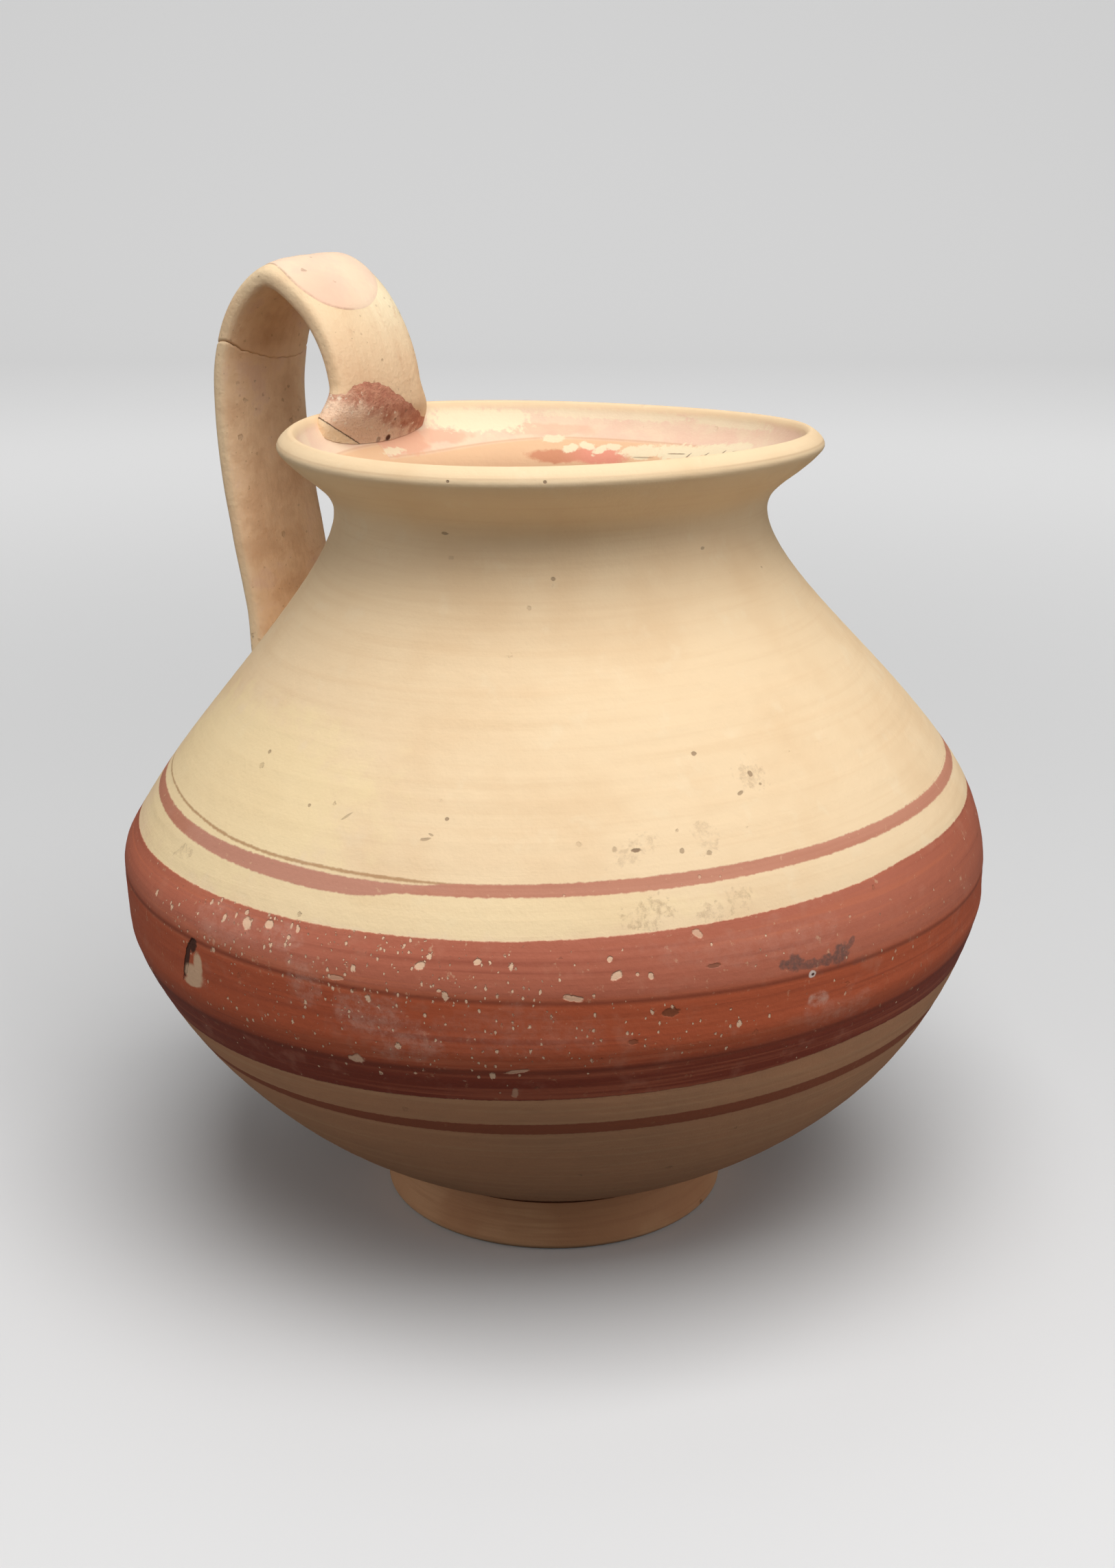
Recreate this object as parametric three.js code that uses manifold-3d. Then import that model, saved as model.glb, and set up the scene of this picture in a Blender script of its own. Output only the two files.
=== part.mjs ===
// A one-handled ceramic jug: a thrown bowl with a pinched neck and a flared mouth, a turned ring foot,
// and a strap handle that has been broken and mended. Millimetres, +Z up. The origin is the middle of
// the ring that the foot stands on, and the handle is on the -X side.
import * as THREE from 'three';
import { mergeVertices } from 'three/addons/utils/BufferGeometryUtils.js';
import Module from 'manifold-3d';

const wasm = await Module();
wasm.setup();

// Driving sizes: the ring foot
const footRadius = 38.2;
const footHeight = 11;
const footTaper = 2;
const footWall = 8.2;
const footHollowTaper = 1.5;
const footEdge = 1.2;

// Driving sizes: the thrown wall. The belly is its widest line, and two turned facets lie under it.
const bowlSeamRadius = 36.9;
const bowlBottomHeight = 8.2;
const bellyRadius = 93.5;
const bellyHeight = 82.3;
const midCreaseInset = 0.3;
const midCreaseDrop = 10.4;
const lowCreaseInset = 1.9;
const lowCreaseDrop = 15.5;
const waistRadius = 45.7;
const rimHeight = 171.6;
const neckDepth = 16.5;
const lipReach = 11;
const lipFace = 3.8;
const lipCrestInset = 2.7;
const lipRollInset = 2;
const lipRollDrop = 1.5;
const bowlWall = 5.2;
const neckWall = 3.5;
const floorThickness = 6.4;

// How far the wheel-thrown wall is out of true
const bellyTilt = 2.05;
const bellyTiltHeading = 36;
const mouthTilt = 1.33;
const mouthTiltHeading = -52.5;
const mouthSaddleRise = 0.75;
const mouthSaddleHeading = 4;
const bowlDrift = 2.45;
const mouthDrift = 0.65;
const tiltFootMargin = 1;
const tiltBellyMargin = 10;
const mouthTiltStart = 0.4;
const levelReach = 8;

// Driving sizes: the strap handle
const strapWidth = 27.8;
const strapThickness = 7;
const strapSquareness = 3.2;
const fingerGap = 28.3;
const handleRise = 29.2;
const archHeight = 28;
const crownOffset = 2;
const crownRoll = 3.5;
const crownRollReach = 28;
const landingInset = 9.3;
const landingDepth = 9.2;
const landingFlareDepth = 6.5;
const landingFlare = 3.4;
const landingFlareLength = 9;
const landingSwell = 2;
const landingThinning = 4;
const landingThinLength = 11;
const rootRise = 33.3;
const rootSink = 9;
const rootFlare = 1;
const rootSwell = 1;
const rootFlareLength = 13;

// Driving sizes: the mended break and the two fills in the handle
const breakDepth = 20.6;
const breakDrop = 6.2;
const rimFillRise = 4.7;
const rimFillDrop = 7;
const crownFillLength = 29;
const crownFillWidth = 26;
const crownFillDepth = 2.5;
const crownFillPast = 2.6;
const crownFillShift = 1;
const crownFillSkew = 0.25;
const crownFillSquareness = 2.3;
const crownFillBlunt = 0.96;
const jointGap = 0.3;

// Each curve's heading where it leaves and where it arrives, in degrees from straight outwards and
// turning upwards, and the share of its chord for which it holds each of them.
const bottomCurve = { leaves: 0, holds: 0.38, arrives: 27.7, settles: 0.216 };
const bowlCurve = { leaves: 27.7, holds: 0.309, arrives: 68.7, settles: 0.421 };
const shoulderCurve = { leaves: 91, holds: 0.23, arrives: 90, settles: 0.187 };
const flareCurve = { leaves: 90, holds: 0.319, arrives: 52.8, settles: 0.433 };
const lipCurve = { leaves: 52.8, holds: 0.432, arrives: 180, settles: 0.08 };
const rollCurve = { leaves: 200, holds: 0.34, arrives: 228, settles: 0.31 };
const floorCurve = { leaves: 207.7, holds: 0.202, arrives: 180, settles: 0.353 };
const edgeCurve = { holds: 0.35, settles: 0.35 };
const legCurve = { leaves: 86, holds: 0.307, arrives: 90, settles: 0.335 };
const backCurve = { leaves: 90, holds: 0.66, arrives: 180, settles: 0.09 };
const frontCurve = { leaves: 180, holds: 0.12, arrives: 270, settles: 0.55 };

// The break, and the upper edge of the fill at the rim, across the strap from its front edge to its
// back edge: [share of the half width, share of the drop]
const breakSteps = [
  [-2, 1], [-1, 0.92], [-0.72, 0.54], [-0.4, 0.33], [0, 0.15], [0.75, 0.16], [1, 0.45], [2, 0.45],
];
const rimFillSteps = [[-2, -0.1], [-1, 0], [-0.6, 0.3], [0, 0.1], [1, -1], [2, -1.2]];

// Facets
const roundFacets = 56;
const strapStations = 44;
const strapSectionPoints = 22;
const inlayStations = 18;
const rimFillLineSteps = 12;

const degrees = THREE.MathUtils.degToRad;
const smooth = THREE.MathUtils.smoothstep;
const lerp = THREE.MathUtils.lerp;
const point = (radius, height) => new THREE.Vector2(radius, height);
const heading = (angle) => point(Math.cos(degrees(angle)), Math.sin(degrees(angle)));

// A cubic curve that leaves one point on a heading and reaches the next on another.
function bend(from, to, { leaves, holds, arrives, settles }) {
  const chord = from.distanceTo(to);
  return new THREE.CubicBezierCurve(
    from,
    from.clone().addScaledVector(heading(leaves), holds * chord),
    to.clone().addScaledVector(heading(arrives), -settles * chord),
    to,
  );
}

// The points of several curves in a row, each curve cut into its own number of steps.
function chain(...parts) {
  const points = [];
  for (const [curve, steps] of parts) {
    points.push(...curve.getPoints(steps).slice(points.length ? 1 : 0));
  }
  return points;
}

// A line set to one side of another, square to it. A positive distance goes to the left of travel.
function setOff(points, distance) {
  return points.map((here, i) => {
    const before = points[Math.max(i - 1, 0)];
    const after = points[Math.min(i + 1, points.length - 1)];
    const along = after.clone().sub(before).normalize();
    const apart = typeof distance === 'function' ? distance(here) : distance;
    return point(here.x - along.y * apart, here.y + along.x * apart);
  });
}

// Where a rising line stands at a height, as its radius.
function radiusAt(line, height) {
  const i = Math.max(line.findIndex((p) => p.y >= height), 1);
  const [low, high] = [line[i - 1], line[i]];
  return lerp(low.x, high.x, (height - low.y) / (high.y - low.y));
}

// The height of a line that runs outwards, at a radius.
function heightAt(line, radius) {
  const i = Math.max(line.findIndex((p) => p.x >= radius), 1);
  const [near, far] = [line[i - 1], line[i]];
  return lerp(near.y, far.y, (radius - near.x) / (far.x - near.x));
}

// The outside of the wall, from the middle of the bottom to the lip. The turned facets meet at the
// creases of the belly, and the bowl, shoulder and flare are each one curve.
const waistHeight = rimHeight - neckDepth;
const lipEdgeRadius = waistRadius + lipReach;
const seam = point(bowlSeamRadius, footHeight);
const lowCrease = point(bellyRadius - lowCreaseInset, bellyHeight - lowCreaseDrop);
const midCrease = point(bellyRadius - midCreaseInset, bellyHeight - midCreaseDrop);
const belly = point(bellyRadius, bellyHeight);
const waist = point(waistRadius, waistHeight);
const lipEdge = point(lipEdgeRadius, rimHeight - lipFace);

const bottomLine = chain([bend(point(0, bowlBottomHeight), seam, bottomCurve), 5]);
const bowlLine = chain([bend(seam, lowCrease, bowlCurve), 10]);
const shoulderLine = chain(
  [bend(belly, waist, shoulderCurve), 12],
  [bend(waist, lipEdge, flareCurve), 6],
);
const outerLine = [...bowlLine, midCrease, ...shoulderLine];

// The inside follows the outside at the wall's thickness, which thins from the bowl to the neck.
const wallAt = (p) => lerp(bowlWall, neckWall, smooth(p.y, footHeight, waistHeight));
const innerLine = setOff(outerLine, wallAt);
const lipCrest = point(lipEdgeRadius - lipCrestInset, rimHeight);
const lipInner = innerLine.at(-1).clone().sub(point(lipRollInset, lipRollDrop));
const lipLine = chain(
  [bend(lipEdge, lipCrest, lipCurve), 5],
  [bend(lipCrest, lipInner, rollCurve), 3],
);
const floor = point(0, bowlBottomHeight + floorThickness);
const floorLine = chain([bend(innerLine[1], floor, floorCurve), 4]);

// The wall's cross-section, once round: outside upwards, over the lip and down the inside.
const wallSection = [
  ...bottomLine,
  ...outerLine.slice(1),
  ...lipLine.slice(1),
  ...innerLine.slice(2, -1).reverse(),
  ...floorLine,
];

// Joins equal points, drops triangles that the joining closed up, and faces the triangles outwards.
function closed(geometry) {
  geometry.deleteAttribute('normal');
  geometry.deleteAttribute('uv');
  const merged = mergeVertices(geometry, 1e-4);
  const place = merged.attributes.position.array;
  const corners = [];
  let volume = 0;
  for (let i = 0; i < merged.index.count; i += 3) {
    const [a, b, c] = merged.index.array.slice(i, i + 3);
    if (a === b || b === c || c === a) continue;
    corners.push(a, b, c);
    const [p, q, r] = [a, b, c].map((k) => new THREE.Vector3().fromArray(place, 3 * k));
    volume += p.dot(q.cross(r));
  }
  if (volume < 0) corners.reverse();
  merged.setIndex(corners);
  return merged;
}

// Turns a cross-section of radius and height round the jug's axis.
function turned(section) {
  const ring = [...section];
  if (section[0].x > 0) ring.push(section[0].clone());
  const geometry = new THREE.LatheGeometry(ring, roundFacets);
  return closed(geometry.rotateX(Math.PI / 2));
}

// A closed skin made into a solid that can be joined and cut.
function solid(geometry) {
  const vertProperties = new Float32Array(geometry.attributes.position.array);
  const triVerts = new Uint32Array(geometry.index.array);
  return new wasm.Manifold(new wasm.Mesh({ numProp: 3, vertProperties, triVerts }));
}

// The biggest of the separate solids that a cut leaves.
function largest(shape) {
  const bits = shape.decompose();
  return bits.reduce((best, bit) => (bit.volume() > best.volume() ? bit : best));
}

function surface(shape) {
  const mesh = shape.getMesh();
  const geometry = new THREE.BufferGeometry();
  geometry.setAttribute('position', new THREE.BufferAttribute(mesh.vertProperties, 3));
  geometry.setIndex(new THREE.BufferAttribute(mesh.triVerts, 1));
  return geometry;
}

// The wall as it came off the wheel. The belly and the mouth each tip a little to one side, though the
// belly's crease was turned level, and the rim is warped, high at two sides and low between them. The
// bowl stands off the axis below the belly, and the mouth stands off it the other way.
function outOfTrue(geometry) {
  const place = geometry.attributes.position;
  const bellyWay = heading(bellyTiltHeading);
  const mouthWay = heading(mouthTiltHeading);
  const tiltFoot = footHeight + tiltFootMargin;
  const tiltBelly = lowCrease.y - tiltBellyMargin;
  const tiltNeck = lerp(bellyHeight, waistHeight, mouthTiltStart);
  for (let i = 0; i < place.count; i += 1) {
    const at = point(place.getX(i), place.getY(i));
    const z = place.getZ(i);
    const inMouth = smooth(z, tiltNeck, rimHeight);
    const levelled = Math.exp(-(((z - bellyHeight) / levelReach) ** 2));
    const inBelly = smooth(z, tiltFoot, tiltBelly) * (1 - inMouth) * (1 - levelled);
    const inBowl = smooth(z, tiltFoot, bellyHeight / 2) * (1 - smooth(z, bellyHeight / 2, bellyHeight));
    const lift = inBelly * Math.tan(degrees(bellyTilt)) * at.dot(bellyWay)
      + inMouth * Math.tan(degrees(mouthTilt)) * at.dot(mouthWay)
      + inMouth * mouthSaddleRise * Math.cos(2 * (at.angle() - degrees(mouthSaddleHeading)));
    at.addScaledVector(bellyWay, bowlDrift * inBowl - mouthDrift * smooth(z, bellyHeight, rimHeight));
    place.setXYZ(i, at.x, at.y, z + lift);
  }
  return geometry;
}

// The ring foot: a spreading ring, hollow in the middle, whose top follows the underside of the bowl.
function footSection() {
  const topRadius = footRadius - footTaper;
  const hollowRadius = footRadius - footWall;
  const hollowTop = hollowRadius - footHollowTaper;
  const under = bottomLine.map((p) => point(p.x, p.y - jointGap));
  const seat = [0, 0.5, 1].map((share) => {
    const radius = lerp(topRadius, hollowTop, share);
    return point(radius, heightAt(under, radius));
  });
  const outerEdge = bend(
    point(footRadius - footEdge, 0),
    point(footRadius, footEdge),
    { leaves: 0, arrives: 90, ...edgeCurve },
  );
  const innerEdge = bend(
    point(hollowRadius, footEdge),
    point(hollowRadius + footEdge, 0),
    { leaves: 270, arrives: 0, ...edgeCurve },
  );
  return [...outerEdge.getPoints(3), ...seat, ...innerEdge.getPoints(3)];
}

// The middle line of the strap, in the handle's own upright plane, as distance from the jug's axis and
// height. It climbs from the shoulder, goes over the arch and comes down on the slope inside the mouth.
const rimLegRadius = lipEdgeRadius - landingInset;
const springRadius = rimLegRadius + strapThickness + fingerGap;
const crownHeight = rimHeight + handleRise;
const springHeight = crownHeight - archHeight;
const rootHeight = bellyHeight + rootRise;
const root = point(radiusAt(shoulderLine, rootHeight), rootHeight);
const rootStart = root.clone().addScaledVector(heading(legCurve.leaves), -rootSink);
const crown = point((rimLegRadius + springRadius) / 2 + crownOffset, crownHeight);
const spring = point(springRadius, springHeight);
const rimSpring = point(rimLegRadius, springHeight);
const landing = point(rimLegRadius, rimHeight - landingDepth);
const strapLine = new THREE.CurvePath();
strapLine.add(bend(rootStart, spring, legCurve));
strapLine.add(bend(spring, crown, backCurve));
strapLine.add(bend(crown, rimSpring, frontCurve));
strapLine.add(new THREE.LineCurve(rimSpring, landing));
const crownAt = strapLine.getCurveLengths()[1];

// A closed skin through the strap's cross-sections. It covers the stretch between two shares of the
// strap's length, and `section` gives each cross-section's points as [across, outwards]. Over the crown
// the strap leans towards its front edge.
function lofted(start, end, stations, section) {
  const places = [];
  const length = strapLine.getLength();
  for (let i = 0; i <= stations; i += 1) {
    const share = lerp(start, end, i / stations);
    const middle = strapLine.getPointAt(share);
    const along = strapLine.getTangentAt(share);
    const nearCrown = 1 - smooth(Math.abs(share * length - crownAt), 0, crownRollReach);
    const roll = Math.tan(degrees(crownRoll)) * nearCrown;
    for (const [across, outwards] of section(share * length, length)) {
      const off = outwards + roll * across;
      places.push(-(middle.x + along.y * off), across, middle.y - along.x * off);
    }
  }
  const count = places.length / 3 / (stations + 1);
  const corners = [];
  for (let i = 0; i < stations; i += 1) {
    for (let j = 0; j < count; j += 1) {
      const [a, b] = [i * count + j, i * count + ((j + 1) % count)];
      corners.push(a, b, a + count, b, b + count, a + count);
    }
  }
  for (let j = 1; j < count - 1; j += 1) {
    const last = stations * count;
    corners.push(0, j + 1, j, last, last + j, last + j + 1);
  }
  const geometry = new THREE.BufferGeometry();
  geometry.setAttribute('position', new THREE.Float32BufferAttribute(places, 3));
  geometry.setIndex(corners);
  return closed(geometry);
}

// The strap's cross-section is a flattened round, square enough to have arrises. Both ends spread
// where the clay was pressed on to the wall. The lower one swells as well. The upper one thins on the
// side that faces the mouth and swells on the other, where it flows out on to the rim.
function strapSection(along, length) {
  const spread = (fromEnd, reach) => 1 - smooth(fromEnd, 0, reach);
  const rounded = (share) => Math.sign(share) * Math.abs(share) ** (2 / strapSquareness);
  const atRoot = spread(along - rootSink, rootFlareLength);
  const atRim = spread(length - along - landingFlareDepth, landingFlareLength);
  const halfWidth = strapWidth / 2 + Math.max(rootFlare * atRoot, landingFlare * atRim);
  const halfThickness = (strapThickness + rootSwell * atRoot) / 2;
  const thinned = landingThinning * spread(length - along, landingThinLength);
  const swollen = landingSwell * atRim;
  return Array.from({ length: strapSectionPoints }, (_, k) => {
    const turn = (2 * Math.PI * (k + 0.5)) / strapSectionPoints;
    const outwards = rounded(Math.sin(turn));
    return [
      halfWidth * rounded(Math.cos(turn)),
      halfThickness * outwards - (thinned * (1 + outwards) + swollen * (1 - outwards)) / 2,
    ];
  });
}

// A block that ends upwards at a line drawn across the strap, from its front edge to its back edge.
function blockUnder(line, nearest, furthest) {
  const outline = new THREE.Shape([
    ...line,
    point(line.at(-1).x, 0),
    point(line[0].x, 0),
  ]);
  const block = new THREE.ExtrudeGeometry(outline, {
    depth: furthest - nearest,
    steps: 1,
    bevelEnabled: false,
  });
  // The drawing's right becomes +Y, its up stays up, and its depth runs outwards along -X.
  const frame = new THREE.Matrix4().makeBasis(
    new THREE.Vector3(0, 1, 0),
    new THREE.Vector3(0, 0, 1),
    new THREE.Vector3(1, 0, 0),
  );
  block.applyMatrix4(frame);
  block.translate(-furthest, 0, 0);
  return solid(closed(block));
}

// A line across the strap, drawn from shares of its half width and of a drop.
function acrossStrap(steps, height, drop) {
  return steps.map(([across, share]) => point((across * strapWidth) / 2, height + share * drop));
}

// The break runs across the lower leg: high at the front edge, then falling, with a nick at the back.
function leg(lift) {
  const line = acrossStrap(breakSteps, crownHeight - breakDepth + lift, breakDrop);
  return blockUnder(line, crown.x, springRadius + strapWidth);
}

// The fill at the rim ends upwards in an arch that falls away to the back edge.
function rimLeg(lift) {
  const steps = acrossStrap(rimFillSteps, rimHeight + rimFillRise + lift, rimFillDrop);
  return blockUnder(new THREE.SplineCurve(steps).getPoints(rimFillLineSteps), 0, crown.x);
}

// An oval slab let into the outer face of the arch, just past the crown on the mouth's side, and
// skewed across the strap.
function crownInlay(grow) {
  const length = strapLine.getLength();
  const middle = crownAt + crownFillPast;
  const reach = crownFillLength / 2 + grow;
  const floorLevel = strapThickness / 2 - crownFillDepth - grow;
  const section = (along) => {
    const share = Math.min(Math.abs(along - middle) / reach, crownFillBlunt);
    const oval = (1 - share ** crownFillSquareness) ** (1 / crownFillSquareness);
    const half = (crownFillWidth / 2 + grow) * oval;
    const centre = crownFillShift - crownFillSkew * (along - middle);
    const [front, back] = [centre - half, centre + half];
    return [[front, floorLevel], [back, floorLevel], [back, strapThickness], [front, strapThickness]];
  };
  return solid(lofted((middle - reach) / length, (middle + reach) / length, inlayStations, section));
}

// The handle is cut clear of the wall all round. Inside the bowl and under the flare nothing of it
// is left, because only the largest solid of each cut is kept.
const grownWall = solid(turned([
  ...setOff(bottomLine, -jointGap).map((p) => point(Math.max(p.x, 0), p.y)),
  ...setOff(outerLine, -jointGap).slice(1),
  ...setOff(lipLine, -jointGap).slice(1),
  ...setOff(innerLine, jointGap).slice(2, -1).reverse(),
  ...floorLine.map((p) => point(p.x, p.y + jointGap)),
]));
const strap = largest(solid(lofted(0, 1, strapStations, strapSection)).subtract(grownWall));

// The two sherds meet at the break, and the fills were let into them afterwards.
const sherds = strap.subtract(crownInlay(jointGap));
const lowerSherd = largest(sherds.intersect(leg(-jointGap / 2)));
const upperSherd = largest(sherds.subtract(leg(jointGap / 2)).subtract(rimLeg(jointGap / 2)));
const rimFill = largest(sherds.intersect(rimLeg(-jointGap / 2)));
const crownFill = largest(strap.intersect(crownInlay(0)));

// Finishes: pale slip over orange clay, and the duller colours of the fills
const slip = { color: '#ecd0a4', roughness: 0.62, metalness: 0 };
const clay = { color: '#b98a5c', roughness: 0.7, metalness: 0 };
const redFill = { color: '#a8755a', roughness: 0.85, metalness: 0 };
const pinkFill = { color: '#e9bd9d', roughness: 0.75, metalness: 0 };

function piece(name, geometry, finish) {
  geometry.computeVertexNormals();
  const mesh = new THREE.Mesh(geometry, new THREE.MeshStandardMaterial(finish));
  mesh.name = name;
  return mesh;
}

const jug = new THREE.Group();
jug.name = 'ceramic_jug';
jug.add(piece('body', outOfTrue(turned(wallSection)), slip));
jug.add(piece('foot_ring', turned(footSection()), clay));
jug.add(piece('handle_lower', outOfTrue(surface(lowerSherd)), slip));
jug.add(piece('handle_upper', outOfTrue(surface(upperSherd)), slip));
jug.add(piece('handle_root_fill', outOfTrue(surface(rimFill)), redFill));
jug.add(piece('handle_crown_fill', outOfTrue(surface(crownFill)), pinkFill));

export default jug;
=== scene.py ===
"""The visual model of a mended one-handled ceramic jug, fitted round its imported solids.

Lengths are worked out in millimetres in the part's own frame, with +Z up and the handle on the -X side,
and go into the meshes in metres. An azimuth is measured from +X towards +Y. A point of the thrown wall
is named by its rise, which is its height before the wall went out of true, and by how far past the
lip's crest it lies along the wall's outline: below zero outside, above zero inside.
"""
import math
from types import SimpleNamespace

import bpy
import numpy as np
from bpy.props import FloatProperty, FloatVectorProperty, PointerProperty
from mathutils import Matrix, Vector


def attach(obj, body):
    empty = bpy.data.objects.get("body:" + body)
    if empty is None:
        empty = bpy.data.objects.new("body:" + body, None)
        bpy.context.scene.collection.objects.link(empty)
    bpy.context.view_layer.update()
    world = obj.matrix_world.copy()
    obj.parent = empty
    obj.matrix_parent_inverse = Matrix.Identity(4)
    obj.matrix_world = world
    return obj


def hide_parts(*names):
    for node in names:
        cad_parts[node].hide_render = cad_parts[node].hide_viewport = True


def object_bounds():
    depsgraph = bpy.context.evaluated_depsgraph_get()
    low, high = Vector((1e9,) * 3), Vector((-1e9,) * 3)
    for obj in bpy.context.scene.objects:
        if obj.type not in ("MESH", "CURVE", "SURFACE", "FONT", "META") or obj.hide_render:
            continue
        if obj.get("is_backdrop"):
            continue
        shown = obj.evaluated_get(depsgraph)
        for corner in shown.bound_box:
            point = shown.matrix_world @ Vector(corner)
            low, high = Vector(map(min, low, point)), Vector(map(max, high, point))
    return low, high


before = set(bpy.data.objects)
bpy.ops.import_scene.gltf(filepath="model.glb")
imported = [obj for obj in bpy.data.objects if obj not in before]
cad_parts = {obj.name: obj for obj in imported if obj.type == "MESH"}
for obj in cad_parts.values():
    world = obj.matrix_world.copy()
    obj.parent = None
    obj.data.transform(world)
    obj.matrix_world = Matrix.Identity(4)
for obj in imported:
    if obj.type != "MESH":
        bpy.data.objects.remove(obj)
cad_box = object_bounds()

bl_info = {
    "name": "Mended ceramic jug",
    "version": (1, 0, 0),
    "blender": (4, 5, 0),
    "location": "3D View > Sidebar > Jug",
    "description": "Builds a one-handled ceramic jug with painted bands and a mended strap handle",
    "category": "Add Mesh",
}

MM = 0.001

# How the wall left the wheel, with headings in degrees from +X towards +Y and tips in degrees
BELLY_WAY, BELLY_TIP = 36, 2.05
MOUTH_WAY, MOUTH_TIP = -52.5, 1.33
WARP, WARP_WAY = 0.75, 4

# The outline's points, in and down from the wall's own sizes
SEAM_IN = 1.3
LOW_CREASE, MID_CREASE = (1.9, 15.5), (0.3, 10.4)
LIP_EDGE_DOWN, CREST_IN, ROLL_END = 3.8, 2.7, (2, 1.5)
UNDERSIDE_RISE, FLOOR_RISE, FLOOR_START = 8.2, 14.6, 7

# The ring foot: its thickness, its rounded edges and how far its seat lies under the bowl
FOOT_THICKNESS, FOOT_EDGE, SEAT_DROP = 8.2, 1.2, 0.3

# The curves' headings and how long each is held: on leaving, then on arriving
CURVES = {
    "bowl": (27.7, 0.309, 68.7, 0.421), "shoulder": (91, 0.23, 90, 0.187), "flare": (90, 0.319, 52.8, 0.433),
    "lip": (52.8, 0.432, 180, 0.08), "roll": (200, 0.34, 228, 0.31), "underside": (0, 0.38, 27.7, 0.216),
    "floor": (207.7, 0.202, 180, 0.353), "strap_root": (86, 0.307, 90, 0.335),
    "strap_back": (90, 0.66, 180, 0.09), "strap_front": (180, 0.12, 270, 0.55),
}

# The strap's path: how far its rim leg stands in from the lip's edge, the arch's height, how far the
# crown lies back of the middle, and where the path starts and lands
RIM_LEG_IN, ARCH_HEIGHT, CROWN_BACK = 9.3, 28, 2
ROOT_OVER_BELLY, ROOT_DEPTH, LANDING_DOWN, PAST_LANDING = 33.3, 9, 9.2, 8

# Places across the strap, and how far the mended break and the root fill's upper edge stand there over
# their own heights
BREAK_STEPS = (
    (-14, -12.7, -10.2, -5.6, 0, 7, 10.6, 12.6, 14.4),
    (5.8, 4.9, 3.4, 2.2, 0.9, 0.6, 1.1, 2.7, 3.1))
FILL_STEPS = (
    (-18, -13, -10.5, -8.5, -5, -1, 4.7, 9.5, 14.2, 18),
    (-1.2, -0.1, 1.2, 1.9, 1.8, 0.9, -2.3, -5, -7.4, -8.6))

# The strap: how full its section is, how fine its grid is, how closely it seats, how far it leans over
# the crown, how much it swells or thins at its roots, and how far its front edge runs out to the lip
STRAP_POWER = 3.2
STRAP_COLUMNS, STRAP_SPACING = 112, 0.7
SEAT_GAP, FILL_GAP = 0.05, 0.02
CROWN_LEAN = 3.5
ROOT_SWELL, RIM_SPREAD, RIM_THINNING, RIM_SWELL, RUN_OUT = 1, 3.4, 4, 2, 2.2

# The crown fill: its middle past the crown and across the strap, its skew, how full its outline is, how
# far it keeps from the strap's edge and stands proud, and its bed's depth and feathered edge
INLAY_PAST, INLAY_ASIDE, INLAY_SKEW, INLAY_POWER = 2.6, 1, 0.25, 2.3
INLAY_FROM_EDGE, INLAY_PROUD = 0.6, 0.1
BED_DEPTH, BED_EDGE = 2.4, (0.8, 0.94)

# The angle from which an edge stays sharp, and how many points go round each piece
CREASE_ANGLE = 50
BODY_COLUMNS, FOOT_COLUMNS, CROWN_COLUMNS = 288, 240, 180

# The painted band's creases, as rises, along which shade is painted, and the rises between which the slip
# gives way to bare clay
UPPER_CREASE, LOWER_CREASE = 82, 67.6
SLIP_ENDS = (74, 62)

# The root fill's finish: the level that it was rubbed down to and its fall across the strap, the
# slanting cut under which it is faired into the lip, and the notch in it
RUBBED_LEVEL, RUBBED_FALL = 169.5, -0.42
FILL_CUT, FILL_CUT_AT = (-0.328, -0.4568, -0.8269), 117.5
FILL_NOTCH = (-47.9, 3.0, 164.9)

# The stage in metres: the floor's ends, the backdrop's bend and height, and for each lamp the setting
# with its power, its size and its place aside, ahead and up from the jug as the camera sees it
FLOOR_NEAR, FLOOR_FAR, FLOOR_HALF, BEND_RADIUS, BACKDROP_TOP = -3.0, 1.6, 4.0, 0.8, 4.0
SOFTBOXES = (
    ("overhead_softbox", "softbox", 0.85, (0.1, -0.38, 1.05)),
    ("front_softbox", "front_softbox", 0.9, (0.25, -1.1, 0.65)),
    ("left_softbox", "side_softboxes", 0.7, (-1.0, -0.25, 0.45)),
    ("right_softbox", "side_softboxes", 0.7, (1.0, -0.25, 0.45)),
    ("back_softbox", "back_softbox", 1.0, (0.0, 0.9, 1.6)),
)
LAMPS_AIM = (0, 0, 0.09)

# How brightly the camera sees the far floor, from which to which distance in millimetres that comes
# on, and how brightly it sees the world
BACKDROP_GLOW, GLOW_REACH, WORLD_SEEN = 0.62, (100, 1200), 0.6

# The photograph's camera: its place, and how far it looks down and round
CAMERA_PLACE = (261.98, -359.22, 236.6)
CAMERA_DOWN, CAMERA_ROUND = 17.83, 36


def length(name, description, millimetres):
    """A length that a user can change, given in millimetres."""
    return FloatProperty(name=name, description=description, default=millimetres * MM, unit="LENGTH")


def in_linear(red, green, blue):
    """A colour written as 0 to 255 sRGB, as the linear values that Blender's shaders take."""
    shares = np.array([red, green, blue]) / 255
    dark = shares / 12.92
    light = ((shares + 0.055) / 1.055) ** 2.4
    return tuple(float(v) for v in np.where(shares <= 0.04045, dark, light))


def colour(name, description, *srgb):
    """A colour that a user can change, given as 0 to 255 sRGB."""
    return FloatVectorProperty(
        name=name, description=description, default=in_linear(*srgb), subtype="COLOR", min=0, max=1)


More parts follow.
